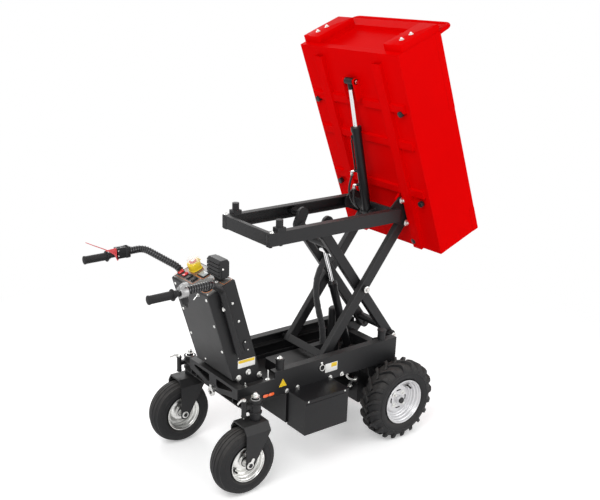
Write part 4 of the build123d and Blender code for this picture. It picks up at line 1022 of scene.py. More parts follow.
def on_panel(skin, up, y, lift=0.0):
    """The skin standing on the panel: up its slope, across it, and lifted off it."""
    return put(skin, PANEL_FOOT + up * PANEL_UP + (0, y, 0) + lift * PANEL_OUT, PANEL_OUT, PANEL_UP)


def on_rear(skin, down, y, lift=0.0):
    """The skin standing on the console's rear cover."""
    return put(skin, REAR_TOP + down * REAR_DOWN + (0, y, 0) + lift * REAR_OUT, REAR_OUT, -REAR_DOWN)


def on_side(skin, x, z, side=-1, lift=0.0, along=UP):
    """The skin standing on a side of the console."""
    return put(skin, (x, side * (CONSOLE_SIDE + lift), z), (0, side, 0), along)


def outline_strip(up, y, length, width, line=1.5):
    """Rectangular line on the panel from four flat strips."""
    along = slab(length * MM, line * MM, 0.0004, 0.0005, 0.0001)
    across = slab(line * MM, (width + line) * MM, 0.0004, 0.0005, 0.0001)
    rows = [on_panel(along, up, y + side * width / 2, PLATE_LIFT) for side in (-1, 1)]
    return rows + [on_panel(across, up + side * length / 2, y, PLATE_LIFT) for side in (-1, 1)]


def rocker():
    """Rocker switch in a bezel: a two-slope wedge with a finger hollow, along local +X."""
    bezel = slab(0.0325, 0.0215, 0.0032, 0.003, 0.0008)
    side = [(-13, 0), (-13, 6.2), (-11.5, 6.8), (-6, 5.2), (0, 4.2), (6, 6.2), (11.2, 9.2), (13, 8.2),
            (13, 0)]
    wedge = prism(np.array(side[::-1]) * MM, 0.0165, 0.0006, 2)
    return bezel, moved(wedge, stand(mm(0, 8.25, 1), RIGHT, FORE))


def make_panel():
    """Face plate with its orange lines, four rockers, a display, a socket, a toggle and corner screws."""
    plate = slab((PANEL_LENGTH - 16) * MM, (2 * CONSOLE_SIDE - 14) * MM, PLATE_LIFT * MM, 0.004, 0.0003)
    pairs = coated("panel_face", on_panel(plate, PANEL_LENGTH / 2, 0))
    bezel, wedge = rocker()
    for y, finish in ROCKERS:
        pairs += coated("gloss_black", on_panel(bezel, ROCKER_UP, y, PLATE_LIFT))
        pairs += coated(finish, on_panel(wedge, ROCKER_UP, y, PLATE_LIFT))
    frame_skin, glass = slab(0.036, 0.052, 0.005, 0.003, 0.001), slab(0.028, 0.044, 0.0008, 0.0015, 0.0003)
    pairs += coated("gloss_black", on_panel(frame_skin, *SCREEN, PLATE_LIFT))
    pairs += coated("display_grey", on_panel(glass, *SCREEN, PLATE_LIFT + 5))
    cup = [(21, 0), (21, 5), (19.5, 7), (17.2, 7), (16, 5.6), (15.4, 1.8), (9, 1.4), (8.4, 4.6), (0, 5.2)]
    pairs += coated("black_plastic", on_panel(spun(cup, 36), *PORT, PLATE_LIFT))
    strips = [strip for outline in OUTLINES for strip in outline_strip(*outline)]
    pairs += coated("panel_orange", on_panel(ring(25.0, 0.8, 48), *PORT, PLATE_LIFT), *strips)
    screw = button_screw(0.0032, 0.0018)
    pairs += coated("zinc_plate", *[on_panel(screw, *place, PLATE_LIFT) for place in PANEL_SCREWS])
    toggle = joined(spun([(8, 0), (8, 2), (5.6, 2.4), (5.6, 8), (4.6, 9), (0, 9)], 24),
                    moved(spun([(2.2, 0), (2.6, 14), (3.4, 22), (2.6, 24.5), (0, 25)], 16),
                          stand(mm(0, 0, 7), (-0.42, 0, 0.9))))
    pairs += coated("zinc_plate", on_rear(toggle, *TOGGLE))
    piece("console_panel", "chassis", "panel_face", pairs)


def make_console_sides():
    """Cover screws, foot bolts, port covers, seams and a blank label on the console."""
    pairs = coated("zinc_plate", *[on_rear(button_screw(0.0072, 0.004), down, side * 128)
                                   for down in COVER_SCREWS for side in (-1, 1)],
                   on_rear(button_screw(0.005, 0.003), 410, 62))
    cover = prism(rounded(0.056, 0.027, 0.013), 0.0035, 0.0012, 2)
    stud = joined(hex_bolt(0.013), spun([(3.2, 0), (3.2, 19), (2.4, 20.5), (0, 20.5)], 16))
    seam = slab(0.062, 0.0016, 0.0005, 0.0004, 0.0001)
    edge = moved(slab(0.0014, 0.39, 0.0006, 0.0005, 0.0002), stand((0, 0, 0), UP, LEFT))
    for side in (-1, 1):
        pairs += coated("zinc_plate",
                        *[on_side(button_screw(0.0064, 0.0036), x, z, side) for x, z in SIDE_SCREWS],
                        *[on_side(hex_bolt(0.0155), x, z, side) for x, z in FOOT_BOLTS],
                        on_side(button_screw(0.0022, 0.0014), -375, 574, side))
        pairs += coated("black_plastic", on_side(cover, *SIDE_PORT, side, along=SIDE_LEAN))
        pairs += coated("zinc_plate", *[on_side(button_screw(0.0036, 0.002), x, z, side, 3.3)
                                        for x, z in SIDE_PORT_SCREWS], put(stud, (-350, side * 168, 439)))
        pairs += coated("stop_rubber", on_side(seam, -318, 514, side, along=FORE),
                        on_rear(edge, 205, side * 143))
    label, band = slab(0.092, 0.038, 0.0006, 0.0015, 0.0002), slab(0.086, 0.0135, 0.0003, 0.001, 0.0001)
    x, z = CONSOLE_LABEL
    pairs += coated("label_white", on_side(label, x, z, along=FORE))
    pairs += coated("label_yellow", on_side(band, x, z + 10.5, -1, 0.55, along=FORE))
    piece("console_fittings", "chassis", "zinc_plate", pairs)


# ------------------------------------------------------------------ emergency stop and work lamp


def make_emergency_stop():
    """Rounded yellow box, red button with a pale disc, and a clear hinged cover."""
    body = prism(rounded(0.056, 0.056, 0.021, 8), 0.036, 0.004, 4)
    foot = prism(rounded(0.060, 0.060, 0.023, 8), 0.005, 0.0015, 2)
    collar = spun([(25, 35), (25, 37.5), (23.6, 39), (0, 39)], 40)
    button = spun([(12, 37), (12, 38.5), (15.6, 39.4), (16.6, 41), (16, 43), (13, 44.6), (0, 45)], 40)
    disc = spun([(9.4, 44.4), (9.2, 45.3), (0, 45.6)], 36)
    marks = repeated(moved(slab(0.0036, 0.0014, 0.0004, 0.0006, 0.0001), stand(mm(12.6, 0, 44.5))),
                     [about((0, 0, 0), UP, k * TURN / 3) for k in range(3)])
    hinge = moved(spun([(2.6, -15), (2.6, 15)], 16), stand(mm(29, 0, 36), LEFT))
    pairs = coated("guard_yellow", body, foot, collar, hinge)
    pairs += coated("switch_red", button) + coated("label_white", disc, marks)
    lid = shell([(28.5, 0), (28.5, 12), (27, 15.5), (23, 17.6), (12, 18.6), (0.3, 18.8)], 1.3)
    cover = moved(hoop(lid, 48), stand(mm(3, 0, 38.5), (0.16, 0, 1), FORE))
    pairs = [(on_panel(skin, *STOP_PLACE, PLATE_LIFT), finish) for skin, finish in pairs]
    piece("emergency_button", "chassis", "guard_yellow", pairs,
          replaces=["emergency_stop"])
    cover = on_panel(cover, *STOP_PLACE, PLATE_LIFT)
    piece("emergency_cover", "chassis", "clear_cover", [cover])


# The lower edge of the lamp's case, above its foot, and the x and z of the bracket's arms.
LAMP_SILL = 950.0
LAMP_ARM = (-447.0, 976.0)


def make_work_lamp():
    """Ribs round the lamp's back, a clear ribbed lens with its rim, and the bracket with its bolts."""
    lo, hi = low("headlamp") / MM, high("headlamp") / MM
    lo[2] = LAMP_SILL
    middle, size = (lo + hi) / 2, hi - lo
    fin = prism(rounded(size[2] * MM - 0.016, size[1] * MM - 0.008, 0.010, 4), 0.0024, 0.0008, 2)
    fins = [put(fin, (lo[0] + 10 + 7 * k, middle[1], middle[2]), FORE) for k in range(4)]
    rim = prism(rounded(size[2] * MM - 0.004, size[1] * MM - 0.002, 0.010, 4), 0.007, 0.002, 3)
    pairs = coated("black_plastic", put(rim, (hi[0] - 9.5, middle[1], middle[2]), FORE), *fins)
    lens = prism(rounded(size[2] * MM - 0.02, size[1] * MM - 0.018, 0.006, 4), 0.002, 0.0006, 2)
    pairs += coated("display_grey", put(lens, (hi[0] - 3.0, middle[1], middle[2]), FORE))
    bar = slab(0.0016, size[1] * MM - 0.024, 0.0012, 0.0006, 0.0003)
    pairs += coated("label_white", *[put(bar, (hi[0] - 1.6, middle[1], middle[2] + z), FORE, UP)
                                     for z in range(-24, 25, 8)])
    arm, screw = prism(rounded(0.048, 0.013, 0.006), 0.0026, 0.0006, 2), button_screw(0.0052, 0.0034)
    x, z = LAMP_ARM
    for side in (-1, 1):
        face = middle[1] + side * (size[1] / 2 - 0.6)
        pairs += coated("charcoal_coat", put(arm, (x, face, z), (0, side, 0), UP))
        pairs += coated("zinc_plate", put(screw, (x, face + side * 2.4, z + 17), (0, side, 0)))
    up, y = LAMP_FOOT
    pairs += coated("charcoal_coat", on_panel(slab(0.030, 0.040, 0.003, 0.004, 0.0008), up, y, PLATE_LIFT))
    pairs += coated("zinc_plate", on_panel(hex_bolt(0.010), up - 12, y - 12, PLATE_LIFT + 3))
    piece("work_lamp_trim", "chassis", "black_plastic", pairs)


# ------------------------------------------------------------------ handlebars

BAR_POINTS = ((-381, 163, 600), (-477, 168, 917), (-600, 283, 1001), (-884, 285, 995))
BAR_BEND = 60.0
BAR_BOLTS = ((-459, 831), (-421, 735))
# A grip's end, its height and its distance from the middle.
GRIP_END, GRIP_HEIGHT, GRIP_OUT = -890.0, 995.3, 285.0
# The wrap on each bar: the shares of the bar's length that it covers, and its strip.
WRAPPED = {"l": (0.30, 0.73), "r": (0.64, 0.78)}
WRAP_RADIUS, WRAP_PITCH, WRAP_WIDTH, WRAP_THICK = 15.4, 11.5, 7.0, 3.0
WRAP_STEPS = 16
SWITCH_X, CLAMP_X = -706.0, -734.0


def bar_line(side):
    """Middle line of one handlebar, in metres, from its foot to its end."""
    return bent([(x, side * y, z) for x, y, z in BAR_POINTS], BAR_BEND)


def stretch(line, start, end):
    """Part of a line between two shares of its length."""
    fine = even(line, 0.002)
    first, last = int(start * (len(fine) - 1)), int(end * (len(fine) - 1))
    return fine[first:last + 1]


def wrap(path):
    """Flat strip wound along a path: at angle a its middle is path + r (side cos a + normal sin a)."""
    path = even(path, WRAP_PITCH * MM / WRAP_STEPS)
    tangent, side, normal = frames(path, LEFT)
    angle = np.arange(len(path)) * TURN / WRAP_STEPS
    out = np.cos(angle)[:, None] * side + np.sin(angle)[:, None] * normal
    middle = path + WRAP_RADIUS * MM * out
    corners = [(-WRAP_WIDTH, -WRAP_THICK), (WRAP_WIDTH, -WRAP_THICK),
               (0.8 * WRAP_WIDTH, WRAP_THICK), (-0.8 * WRAP_WIDTH, WRAP_THICK)]
    rings = [middle + along / 2 * MM * tangent + lift / 2 * MM * out for along, lift in corners]
    return loft(np.stack(rings, 1))


def grip():
    """Moulded grip along local +Z from its closed end: a domed cap, fine rings and an inner flange."""
    profile = [(0, 0), (9, 0.2), (15.5, 0.8), (18.4, 2.4), (18.9, 5), (18.2, 8.4), (16.8, 9.6)]
    for k in range(14):
        z = 12 + 6.4 * k
        profile += [(16.6, z), (17.2, z + 1.6), (17.2, z + 4.2), (16.6, z + 5.8)]
    profile += [(16.8, 103), (17.4, 104.5), (23.4, 106), (24.2, 107.6), (24.2, 110), (23, 111.6), (16.6, 113),
                (15.8, 120), (14.6, 123), (14.2, 123.5)]
    return spun(profile[::-1], 40)


def make_handlebars():
    """Grips, cable wrap and bolts on the bars, the left switch with its lever, and the right clamp."""
    for side, end in ENDS:
        piece("grip_rubber_" + end, "chassis", "grip_rubber",
              [put(grip(), (GRIP_END + 0.3, side * GRIP_OUT, GRIP_HEIGHT), FORE)],
              replaces=["grip_" + end], crease=30)
        wound = stretch(bar_line(side), *WRAPPED[end]) + mm(0, 0, 2)
        pairs = coated("black_plastic", tube(wound, 0.0140, 16, LEFT)) + coated("wrap_black", wrap(wound))
        piece("cable_wrap_" + end, "chassis", "wrap_black", pairs, crease=50)
        bolts = [put(hex_bolt(0.0145), (x, side * 165, z), (0, side, 0)) for x, z in BAR_BOLTS]
        piece("bar_bolts_" + end, "chassis", "zinc_plate", bolts)
    make_left_switch()
    make_right_clamp()


def make_left_switch():
    """Switch box clamped on the left bar, with the red bracket and long thin lever beyond it."""
    height, out = GRIP_HEIGHT, GRIP_OUT
    place = (SWITCH_X, out, height + 6)
    box = prism(rounded(0.066, 0.036, 0.006), 0.046, 0.005, 4, -0.021)
    cap = prism(rounded(0.026, 0.04, 0.006), 0.05, 0.005, 3, -0.024)
    seam = slab(0.068, 0.0012, 0.048, 0.0004, 0.0002, -0.022)
    key = slab(0.014, 0.010, 0.003, 0.003, 0.001)
    keys = [put(key, (SWITCH_X + x, out, height + 30.6)) for x in (-16, 6)]
    screws = [put(button_screw(0.003, 0.0018), (SWITCH_X + x, out - 18, height + z), RIGHT)
              for x in (-24, 22) for z in (-4, 20)]
    pairs = coated("black_plastic", put(box, place), put(cap, (SWITCH_X + 22, out, height + 5)))
    pairs += coated("gloss_black", *keys)
    pairs += coated("stop_rubber", put(seam, (SWITCH_X, out - 18.2, height + 6), UP))
    pairs += coated("zinc_plate", *screws)
    plate = np.array([(2, -14), (-10, 14), (-40, 36), (-50, 38), (-52, 43), (-2, 46), (6, 22), (9, -10)]) * MM
    sheet = prism(plate[::-1], 0.0028, 0.0008, 2)
    pairs += coated("lever_red", moved(sheet, stand(mm(SWITCH_X - 34, out - 16, height - 10), RIGHT, FORE)))
    # The lever's middle line from the bracket to its tip, from the grip's height and distance.
    line = ((-778, -16, 27), (-800, -16, 40), (-840, -14, 60), (GRIP_END + 8, -12, 82))
    rod = smooth_path([mm(x, out + y, height + z) for x, y, z in line], 6)
    pairs += coated("lever_red", tube(rod, np.linspace(2.6, 1.5, len(rod)) * MM, 10, LEFT))
    piece("stop_lever_left", "chassis", "lever_red", pairs)


def make_right_clamp():
    """Silver clamp and short lever on the right bar, with a black housing under it."""
    x, y, z = CLAMP_X, -GRIP_OUT, GRIP_HEIGHT
    band = hoop(np.array([(15, -17), (22.5, -17), (23.5, -15), (23.5, 15), (22.5, 17), (15, 17)]) * MM, 36)
    pairs = coated("cast_metal", put(band, (x, y, z + 2), FORE))
    wedge = np.array([(-24, -6), (-20, 14), (-4, 24), (16, 22), (20, 12), (6, 10), (-6, -2)]) * MM
    lever = prism(wedge[::-1], 0.016, 0.003, 3, -0.008)
    pairs += coated("cast_metal", put(lever, (x, y - 8, z + 19), RIGHT, FORE))
    screw = cap_screw(0.0052, 0.005)
    pairs += coated("zinc_plate", put(screw, (x + 8, y - 12, z + 30), (-0.2, -0.5, 0.85)))
    body = prism(rounded(0.032, 0.026, 0.008), 0.034, 0.005, 3)
    tail = spun([(9, 0), (9, 9), (6, 13), (5, 22), (0, 22)], 20)
    pairs += coated("black_plastic", put(body, (x + 1, y, z - 12), (0.25, 0, -1)),
                    put(tail, (x + 9, y, z - 44), (0.5, 0, -0.86)))
    piece("clamp_right", "chassis", "zinc_plate", pairs)


# ------------------------------------------------------------------ hoses


def cord_line(name, points):
    """Middle line of a cord, in metres, read from a NURBS curve of order three with its ends on the end
    points."""
    curve = bpy.data.curves.new(name + "_line", "CURVE")
    curve.dimensions = "3D"
    line = curve.splines.new("NURBS")
    line.points.add(len(points) - 1)
    for control, (x, y, z) in zip(line.points, points):
        control.co = (x, y, z, 1.0)
    line.order_u = 3
    line.use_endpoint_u = True
    line.resolution_u = 24
    holder = bpy.data.objects.new(name + "_line", curve)
    bpy.context.scene.collection.objects.link(holder)
    read = bpy.data.meshes.new_from_object(holder)
    path = np.array([vertex.co[:] for vertex in read.vertices])
    bpy.data.objects.remove(holder)
    bpy.data.meshes.remove(read)
    bpy.data.curves.remove(curve)
    return path


# The sleeve's middle line as the CAD has it, from the pump block to the clip on the inner arm, in metres.
SLEEVE_POINTS = [(x + 0.481, y, z) for x, y, z in (
    (-0.212, 0.050, 0.428), (-0.212, 0.050, 0.492), (-0.236, 0.050, 0.566), (-0.262, 0.051, 0.662),
    (-0.268, 0.053, 0.742), (-0.250, 0.0555, 0.808), (-0.212, 0.058, 0.862))]
SLEEVE_RADIUS = 0.0152
# Its surface: corners round it, and how strongly and how often its radius ripples along it.
SLEEVE_CORNERS = 28
SLEEVE_RIPPLES = ((0.035, 9, 2), (0.025, 17, 0))
# The console's cable, from the right bar down to the console's side, in metres.
CABLE_POINTS = (
    (-0.462, -0.150, 0.850), (-0.456, -0.152, 0.826), (-0.446, -0.158, 0.790), (-0.432, -0.161, 0.742),
    (-0.418, -0.157, 0.706), (-0.403, -0.149, 0.680), (-0.402, -0.144, 0.672),
)
CABLE_RADIUS = 0.0038


def make_sleeve():
    """Woven sleeve round the hoses: the radius is R (1 + a sum of k sin(n s + m a)) at share s of its length
    and angle a round it, drawn in at both ends; its UV is the angle and the share."""
    path = cord_line("hose_sleeve", SLEEVE_POINTS)
    share = np.linspace(0, 1, len(path))
    _, side, normal = frames(path, LEFT)
    angle = np.arange(SLEEVE_CORNERS) * TURN / SLEEVE_CORNERS
    ripple = 1 + sum(size * np.sin(waves * TURN * share[:, None] + twist * angle)
                     for size, waves, twist in SLEEVE_RIPPLES)
    radius = SLEEVE_RADIUS * ripple * np.clip(0.86 + 6 * np.minimum(share, 1 - share), 0.86, 1)[:, None]
    spread = np.cos(angle)[None, :, None] * side[:, None] + np.sin(angle)[None, :, None] * normal[:, None]
    skin = loft(path[:, None] + radius[:, :, None] * spread)
    round_it, along_it = np.meshgrid(angle / TURN, share)
    uv = np.stack([round_it.ravel(), along_it.ravel()], 1)
    made = piece("hose_weave", None, "woven_nylon", [skin], replaces=["hose_sleeve"],
                 uv=uv)
    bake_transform(made)


# Middle lines of the tip cylinder's hoses, from its elbows down to the platform's front bar, in metres.
TIP_HOSES = (
    ((0.3902, 0.0315, 1.2657), (0.3800, 0.0350, 1.2250), (0.3900, 0.0470, 1.1750), (0.4200, 0.0560, 1.1250),
     (0.4520, 0.0580, 1.0980)),
    ((0.4079, 0.0302, 1.1970), (0.4050, 0.0330, 1.1650), (0.4180, 0.0390, 1.1330), (0.4350, 0.0430, 1.1080),
     (0.4520, 0.0440, 1.0920)),
)
TIP_HOSE_RADIUS = 0.0052


def make_tip_hoses():
    """Two rubber hoses that bend between the tip cylinder's barrel and the platform."""
    for number, points in enumerate(TIP_HOSES):
        path = cord_line(f"tip_hose_{number}", points)
        made = piece(f"tip_hose_{number}", None, "hose_rubber", [tube(path, TIP_HOSE_RADIUS, 16, LEFT)])
        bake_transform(made)


def make_console_cable():
    """Thin black cable down the console's side to its gland."""
    path = cord_line("console_cable", CABLE_POINTS)
    made = piece("console_cable", "chassis", "wrap_black", [tube(path, CABLE_RADIUS, 12, LEFT)])


# ------------------------------------------------------------------ chassis


# Places on the outside of a side rail, as x and z: bolts, ring pull, reflector and blank labels.
RAIL_BOLTS = ((-141, 376), (-81, 378), (113, 377), (184, 376))
RING_PULL, REFLECTOR = (58, 441), (-247, 385)
LABEL, LABEL_MARK, TRIANGLE = (116, 429), (132, 439), (-166, 424)
# A nut and a stud on each rail's posts.
POST_NUT, POST_STUD = (-169, 178, 536), (-240, 186, 453)


def on_rail(skin, x, z, side=-1, lift=0.0, along=UP):
    """The skin standing on the outside of a side rail."""
    return put(skin, (x, side * (RAIL_FACE + lift), z), (0, side, 0), along)


def make_rail_fittings():
    """Bolts, ring pulls, reflectors and blank labels on the side rails, and nuts and studs on the posts."""
    plate = prism(rounded(0.064, 0.017, 0.008), 0.0035, 0.001, 2)
    half = prism(rounded(0.030, 0.014, 0.0068, 6), 0.0016, 0.0006, 2)
    nut = joined(hex_bolt(0.014), spun([(3.6, 0), (3.6, 10), (2.8, 11.4), (0, 11.6)], 16))
    stud = joined(hex_bolt(0.012), spun([(3.4, 0), (3.4, 44), (2.6, 46), (0, 46.4)], 16))
    pairs = []
    for side in (-1, 1):
        pairs += coated("zinc_plate", *[on_rail(hex_bolt(0.012), x, z, side) for x, z in RAIL_BOLTS])
        x, z = RING_PULL
        pairs += coated("zinc_plate", on_rail(button_screw(0.007, 0.003), x, z + 21, side),
                        put(ring(14.0, 2.0, 32), (x, side * (RAIL_FACE + 4.5), z), (0, side, 0.12)))
        x, z = REFLECTOR
        pairs += coated("black_plastic", on_rail(plate, x, z, side, along=FORE))
        pairs += coated("reflector_orange", *[on_rail(half, x + shift, z, side, 3.3, FORE)
                                              for shift in (-15.5, 15.5)])
        pairs += coated("zinc_plate", *[put(skin, (x, side * y, z))
                                        for skin, (x, y, z) in ((nut, POST_NUT), (stud, POST_STUD))])
    label, mark = slab(0.074, 0.044, 0.0006, 0.002, 0.0002), slab(0.034, 0.020, 0.0003, 0.001, 0.0001)
    pairs += coated("label_white", on_rail(label, *LABEL, along=FORE))
    pairs += coated("label_yellow", on_rail(mark, *LABEL_MARK, -1, 0.55, FORE))
    triangle = prism(np.array([(-22, -19), (22, -19), (0, 20)]) * MM, 0.0006, 0.0002, 1)
    pairs += coated("label_yellow", on_rail(triangle, *TRIANGLE, along=FORE))
    piece("rail_fittings", "chassis", "zinc_plate", pairs)


def make_battery_trim():
    """Rib and screws on the battery box that stands out on the right."""
    lo, hi = low("battery_box") / MM, high("battery_box") / MM
    middle = (lo + hi) / 2
    rib = slab((hi[0] - lo[0] - 24) * MM, 0.0022, 0.003, 0.001, 0.0004)
    pairs = coated("satin_black", put(rib, (middle[0], lo[1] + 1.4, hi[2] - 22)))
    pairs += coated("zinc_plate", *[put(button_screw(0.0042, 0.0022), (x, lo[1] + 0.2, hi[2] - 6), RIGHT)
                                    for x in (lo[0] + 24, hi[0] - 24)])
    piece("battery_trim", "chassis", "satin_black", pairs)


# Middle lines of the pipe and the short hose beside the right rail, and the places and axes of their nuts.
DRIVE_PIPE = [(220, -190, 371), (222, -192, 350), (240, -192, 332), (262, -192, 322), (276, -190, 318)]
DRIVE_HOSE = ((258, -176, 292), (272, -178, 312), (292, -176, 320), (308, -172, 300))
DRIVE_NUTS = (((220, -190, 362), UP), ((276, -190, 318), (1, 0.1, -0.2)), ((258, -178, 284), UP))


def make_drive_trim():
    """Hydraulic pipe with its nuts, and a short hose, beside the right rail."""
    pairs = coated("zinc_plate", tube(bent(DRIVE_PIPE, 10, 5), 0.0042, 14, LEFT))
    pairs += coated("zinc_plate", *[put(nut_on_stud(0.014, 0.005), place, axis)
                                    for place, axis in DRIVE_NUTS])
    hose = smooth_path([mm(*place) for place in DRIVE_HOSE], 8)
    pairs += coated("hose_rubber", tube(hose, 0.0065, 14, LEFT))
    piece("drive_pipes", "chassis", "zinc_plate", pairs)


def make_chassis_trim():
    """Everything small that stands on the chassis."""
    make_rail_fittings()
    make_battery_trim()
    make_drive_trim()


# ------------------------------------------------------------------ scissor, deck and cylinders


def pin_head(washer=26.0, across=18.0):
    """Large bolt on a thick washer, in millimetres."""
    plate = spun([(washer / 2, 0), (washer / 2, 2.2), (washer / 2 - 0.8, 3), (0, 3)], 32)
    return joined(plate, moved(nut_on_stud(across * MM, 0.004), stand(mm(0, 0, 2.6))))


# The scissor's pins: body, name, middle, distance to the outer face, and washer.
PINS = (
    ("chassis", "foot", FOOT, 130.0, 28.0),
    ("inner_arms", "middle", MIDDLE, 157.0, 28.0),
    ("outer_arms", "head", HEAD, 163.0, 28.0),
    ("platform", "hinge", HINGE, 162.0, 24.0),
)


def make_scissor_pins():
    """Bolts and washers at the ends of the scissor's pins."""
    for body, name, (x, _, z), face, washer in PINS:
        skins = [put(pin_head(washer), (x, side * face, z), (0, side, 0)) for side in (-1, 1)]
        piece("pins_" + name, body, "zinc_plate", skins)


DECK_STUD, DECK_END, DECK_FEET = (-228, 176), 166.8, ((-236, 168), (-182, 168))


def make_deck_trim():
    """Studs, end plates and feet on the raised platform."""
    stud = joined(hex_bolt(0.011), spun([(3.0, 0), (3.0, 11), (2.4, 12.5), (0, 12.5)], 16))
    end, foot = slab(0.034, 0.0595, 0.004, 0.0015, 0.0006), slab(0.014, 0.030, 0.005, 0.002, 0.0008)
    rear = low("deck_rail_l") / MM
    pairs = []
    for side in (-1, 1):
        x, y = DECK_STUD
        pairs += coated("zinc_plate", put(stud, (x, side * y, DECK_TOP)))
        pairs += coated("charcoal_coat",
                        put(end, (rear[0] + 0.4, side * DECK_END, DECK_BOTTOM + 30), FORE, LEFT),
                        *[put(foot, (x, side * y, DECK_BOTTOM + 0.5), DOWN) for x, y in DECK_FEET])
    piece("deck_bolts", "platform", "zinc_plate", pairs)


# Directions along the tip cylinder's barrel and out of it towards its pipe, and its elbows' reach and
# distance out.
TIP_RUN = np.array((-0.2298, 0.0, 0.9732))
TIP_OUT = np.array((-0.72, 0.67, -0.17))
ELBOWS = ((214, 47), (143, 45))


def beside_tip(reach, out):
    """Point in millimetres beside the tip cylinder: its pivot + reach * TIP_RUN + out * TIP_OUT."""
    return PIVOTS["tip_barrel_pivot"] / MM + reach * TIP_RUN + out * TIP_OUT


def make_cylinder_trim():
    """Pipe, fittings and silver elbows on the tip cylinder's barrel, and the gland ring round its rod."""
    pipe = [beside_tip(214, 24), beside_tip(224, 28), beside_tip(366, 28), beside_tip(384, 18)]
    pairs = coated("satin_black", tube(bent(pipe, 8, 5), 0.0042, 12, LEFT),
                   put(prism(hexagon(0.014), 0.009, 0.001, 2), beside_tip(384, 20), TIP_OUT))
    for reach, out in ELBOWS:
        stub = spun([(8, 0), (8, 8), (6.4, 9.5), (6.4, out - 30), (0, out - 30)], 24)
        pairs += coated("satin_black", put(stub, beside_tip(reach, 18), TIP_OUT))
        bow = smooth_path(np.array([beside_tip(reach, out - 14), beside_tip(reach + 1, out - 5),
                                    beside_tip(reach - 4, out), beside_tip(reach - 14, out)]) * MM, 6)
        nut = put(prism(hexagon(0.0145), 0.011, 0.001, 2), beside_tip(reach - 9, out), -TIP_RUN)
        pairs += coated("zinc_plate", tube(bow, 0.0058, 14, LEFT), nut)
    gland = hoop(np.array([(12.4, 0), (24.4, 0), (24.4, 16), (22.8, 18), (12.4, 18)]) * MM, 40)
    pairs += coated("charcoal_coat", put(gland, beside_tip(412, 0), TIP_RUN))
    piece("tip_cylinder_trim", "tip_barrel", "satin_black", pairs)


# ------------------------------------------------------------------ bed

BED_TILT = math.radians(68.6)
BED_REAR, BED_UNDER = -730.0, 20.0
# Knobs under its floor, and the middles of its folded corner plates and their bolts, as y and z.
KNOBS = ((-461, 281), (-4, 281), (228, 175))
CORNER, CORNER_BOLTS, CORNER_STEP = (271.5, 163), ((278, 102), (278, 158)), 33.0
TIP_EYE_X = -588.7


def on_bed(skin, x, y, z, axis=UP, along=FORE):
    """The skin standing in the bed's own frame, whose X runs to the tip end and Z out of its floor, turned
    with the bed about its hinge."""
    tipped = about(HINGE * MM, LEFT, BED_TILT) @ np.array(Matrix.Translation(Vector(HINGE * MM)))
    return moved(put(skin, (x, y, z), axis, along), tipped)


def make_bed_trim():
    """Folded corner plates with their bolts, and knobs on their studs under the floor."""
    knob = prism(circle(0.0145, 8)[:, :2], 0.018, 0.0022, 3)
    stud = spun([(4.2, 0), (4.2, 22), (0, 22)], 16)
    pairs = []
    for x, y in KNOBS:
        for side in (-1, 1):
            pairs += coated("zinc_plate", on_bed(stud, x, side * y, BED_UNDER + 1, DOWN))
            pairs += coated("black_plastic", on_bed(knob, x, side * y, BED_UNDER - 4, DOWN))
    corner = slab(0.226, 0.110, CORNER_STEP * MM, 0.004, 0.0016)
    face = BED_REAR + 1 - CORNER_STEP
    for side in (-1, 1):
        y, z = CORNER
        pairs += coated("red_enamel", on_bed(corner, BED_REAR + 1, side * y, z, BACK, UP))
        pairs += coated("zinc_plate", *[on_bed(dome_nut(0.0115), face, side * y, z, BACK, UP)
                                        for y, z in CORNER_BOLTS])
    piece("bed_fittings", "bed", "black_plastic", pairs)


def make_rod_head():
    """Black cross head and neck over the end of the tip rod, and silver bolts in the bracket's lugs."""
    cover = spun([(15.5, -25.8), (15.6, -24.6), (15.6, 24.6), (15.5, 25.8), (0, 25.8)], 36)
    neck = spun([(13.2, 10), (13.2, 34), (12.4, 38), (11.7, 38)], 32)
    eye = on_bed(cover, TIP_EYE_X, 0, 0, LEFT)
    pivot = about(HINGE * MM, LEFT, BED_TILT) @ np.append((HINGE + np.array((TIP_EYE_X, 0, 0))) * MM, 1)
    pairs = coated("satin_black", eye, put(neck, pivot[:3] / MM, (0.2298, 0.0, -0.9732)))
    piece("tip_rod_head", "tip_rod", "satin_black", pairs)
    bolts = [on_bed(hex_bolt(0.015), TIP_EYE_X, side * 38.2, 0, (0, side, 0)) for side in (-1, 1)]
    piece("tip_bracket_bolts", "bed", "zinc_plate", bolts)


# ------------------------------------------------------------------ stage

# The camera's place and the directions of its picture's right and up, in the row frame.
CAMERA_AT = (-2.3766, -3.0629, 2.1990)
CAMERA_RIGHT = (0.8310, -0.5562, 0.0082)
CAMERA_UP = (0.1685, 0.2657, 0.9492)
CAMERA_LENS = 53.14
CAMERA_SHIFT = (0.1138, 0.0165)
# The floor's half width, the distances between which it fades to white, and the light added to it.
FLOOR_HALF, FADE, GLOW = 14.0, (1.0, 2.6), 0.34


def make_camera(scene):
    """Long lens from the right rear at standing height, its picture shifted to centre the dumper."""
    data = bpy.data.cameras.new("camera")
    data.lens, data.sensor_width = CAMERA_LENS, 36.0
    data.shift_x, data.shift_y = CAMERA_SHIFT
    data.clip_start, data.clip_end = 0.1, 60.0
    camera = bpy.data.objects.new("camera", data)
    right = Vector(CAMERA_RIGHT).normalized()
    upward = (Vector(CAMERA_UP) - right * right.dot(Vector(CAMERA_UP))).normalized()
    axes = Matrix((right, upward, right.cross(upward))).transposed()
    camera.matrix_world = Matrix.Translation(CAMERA_AT) @ axes.to_4x4()
    scene.collection.objects.link(camera)
    scene.camera = camera


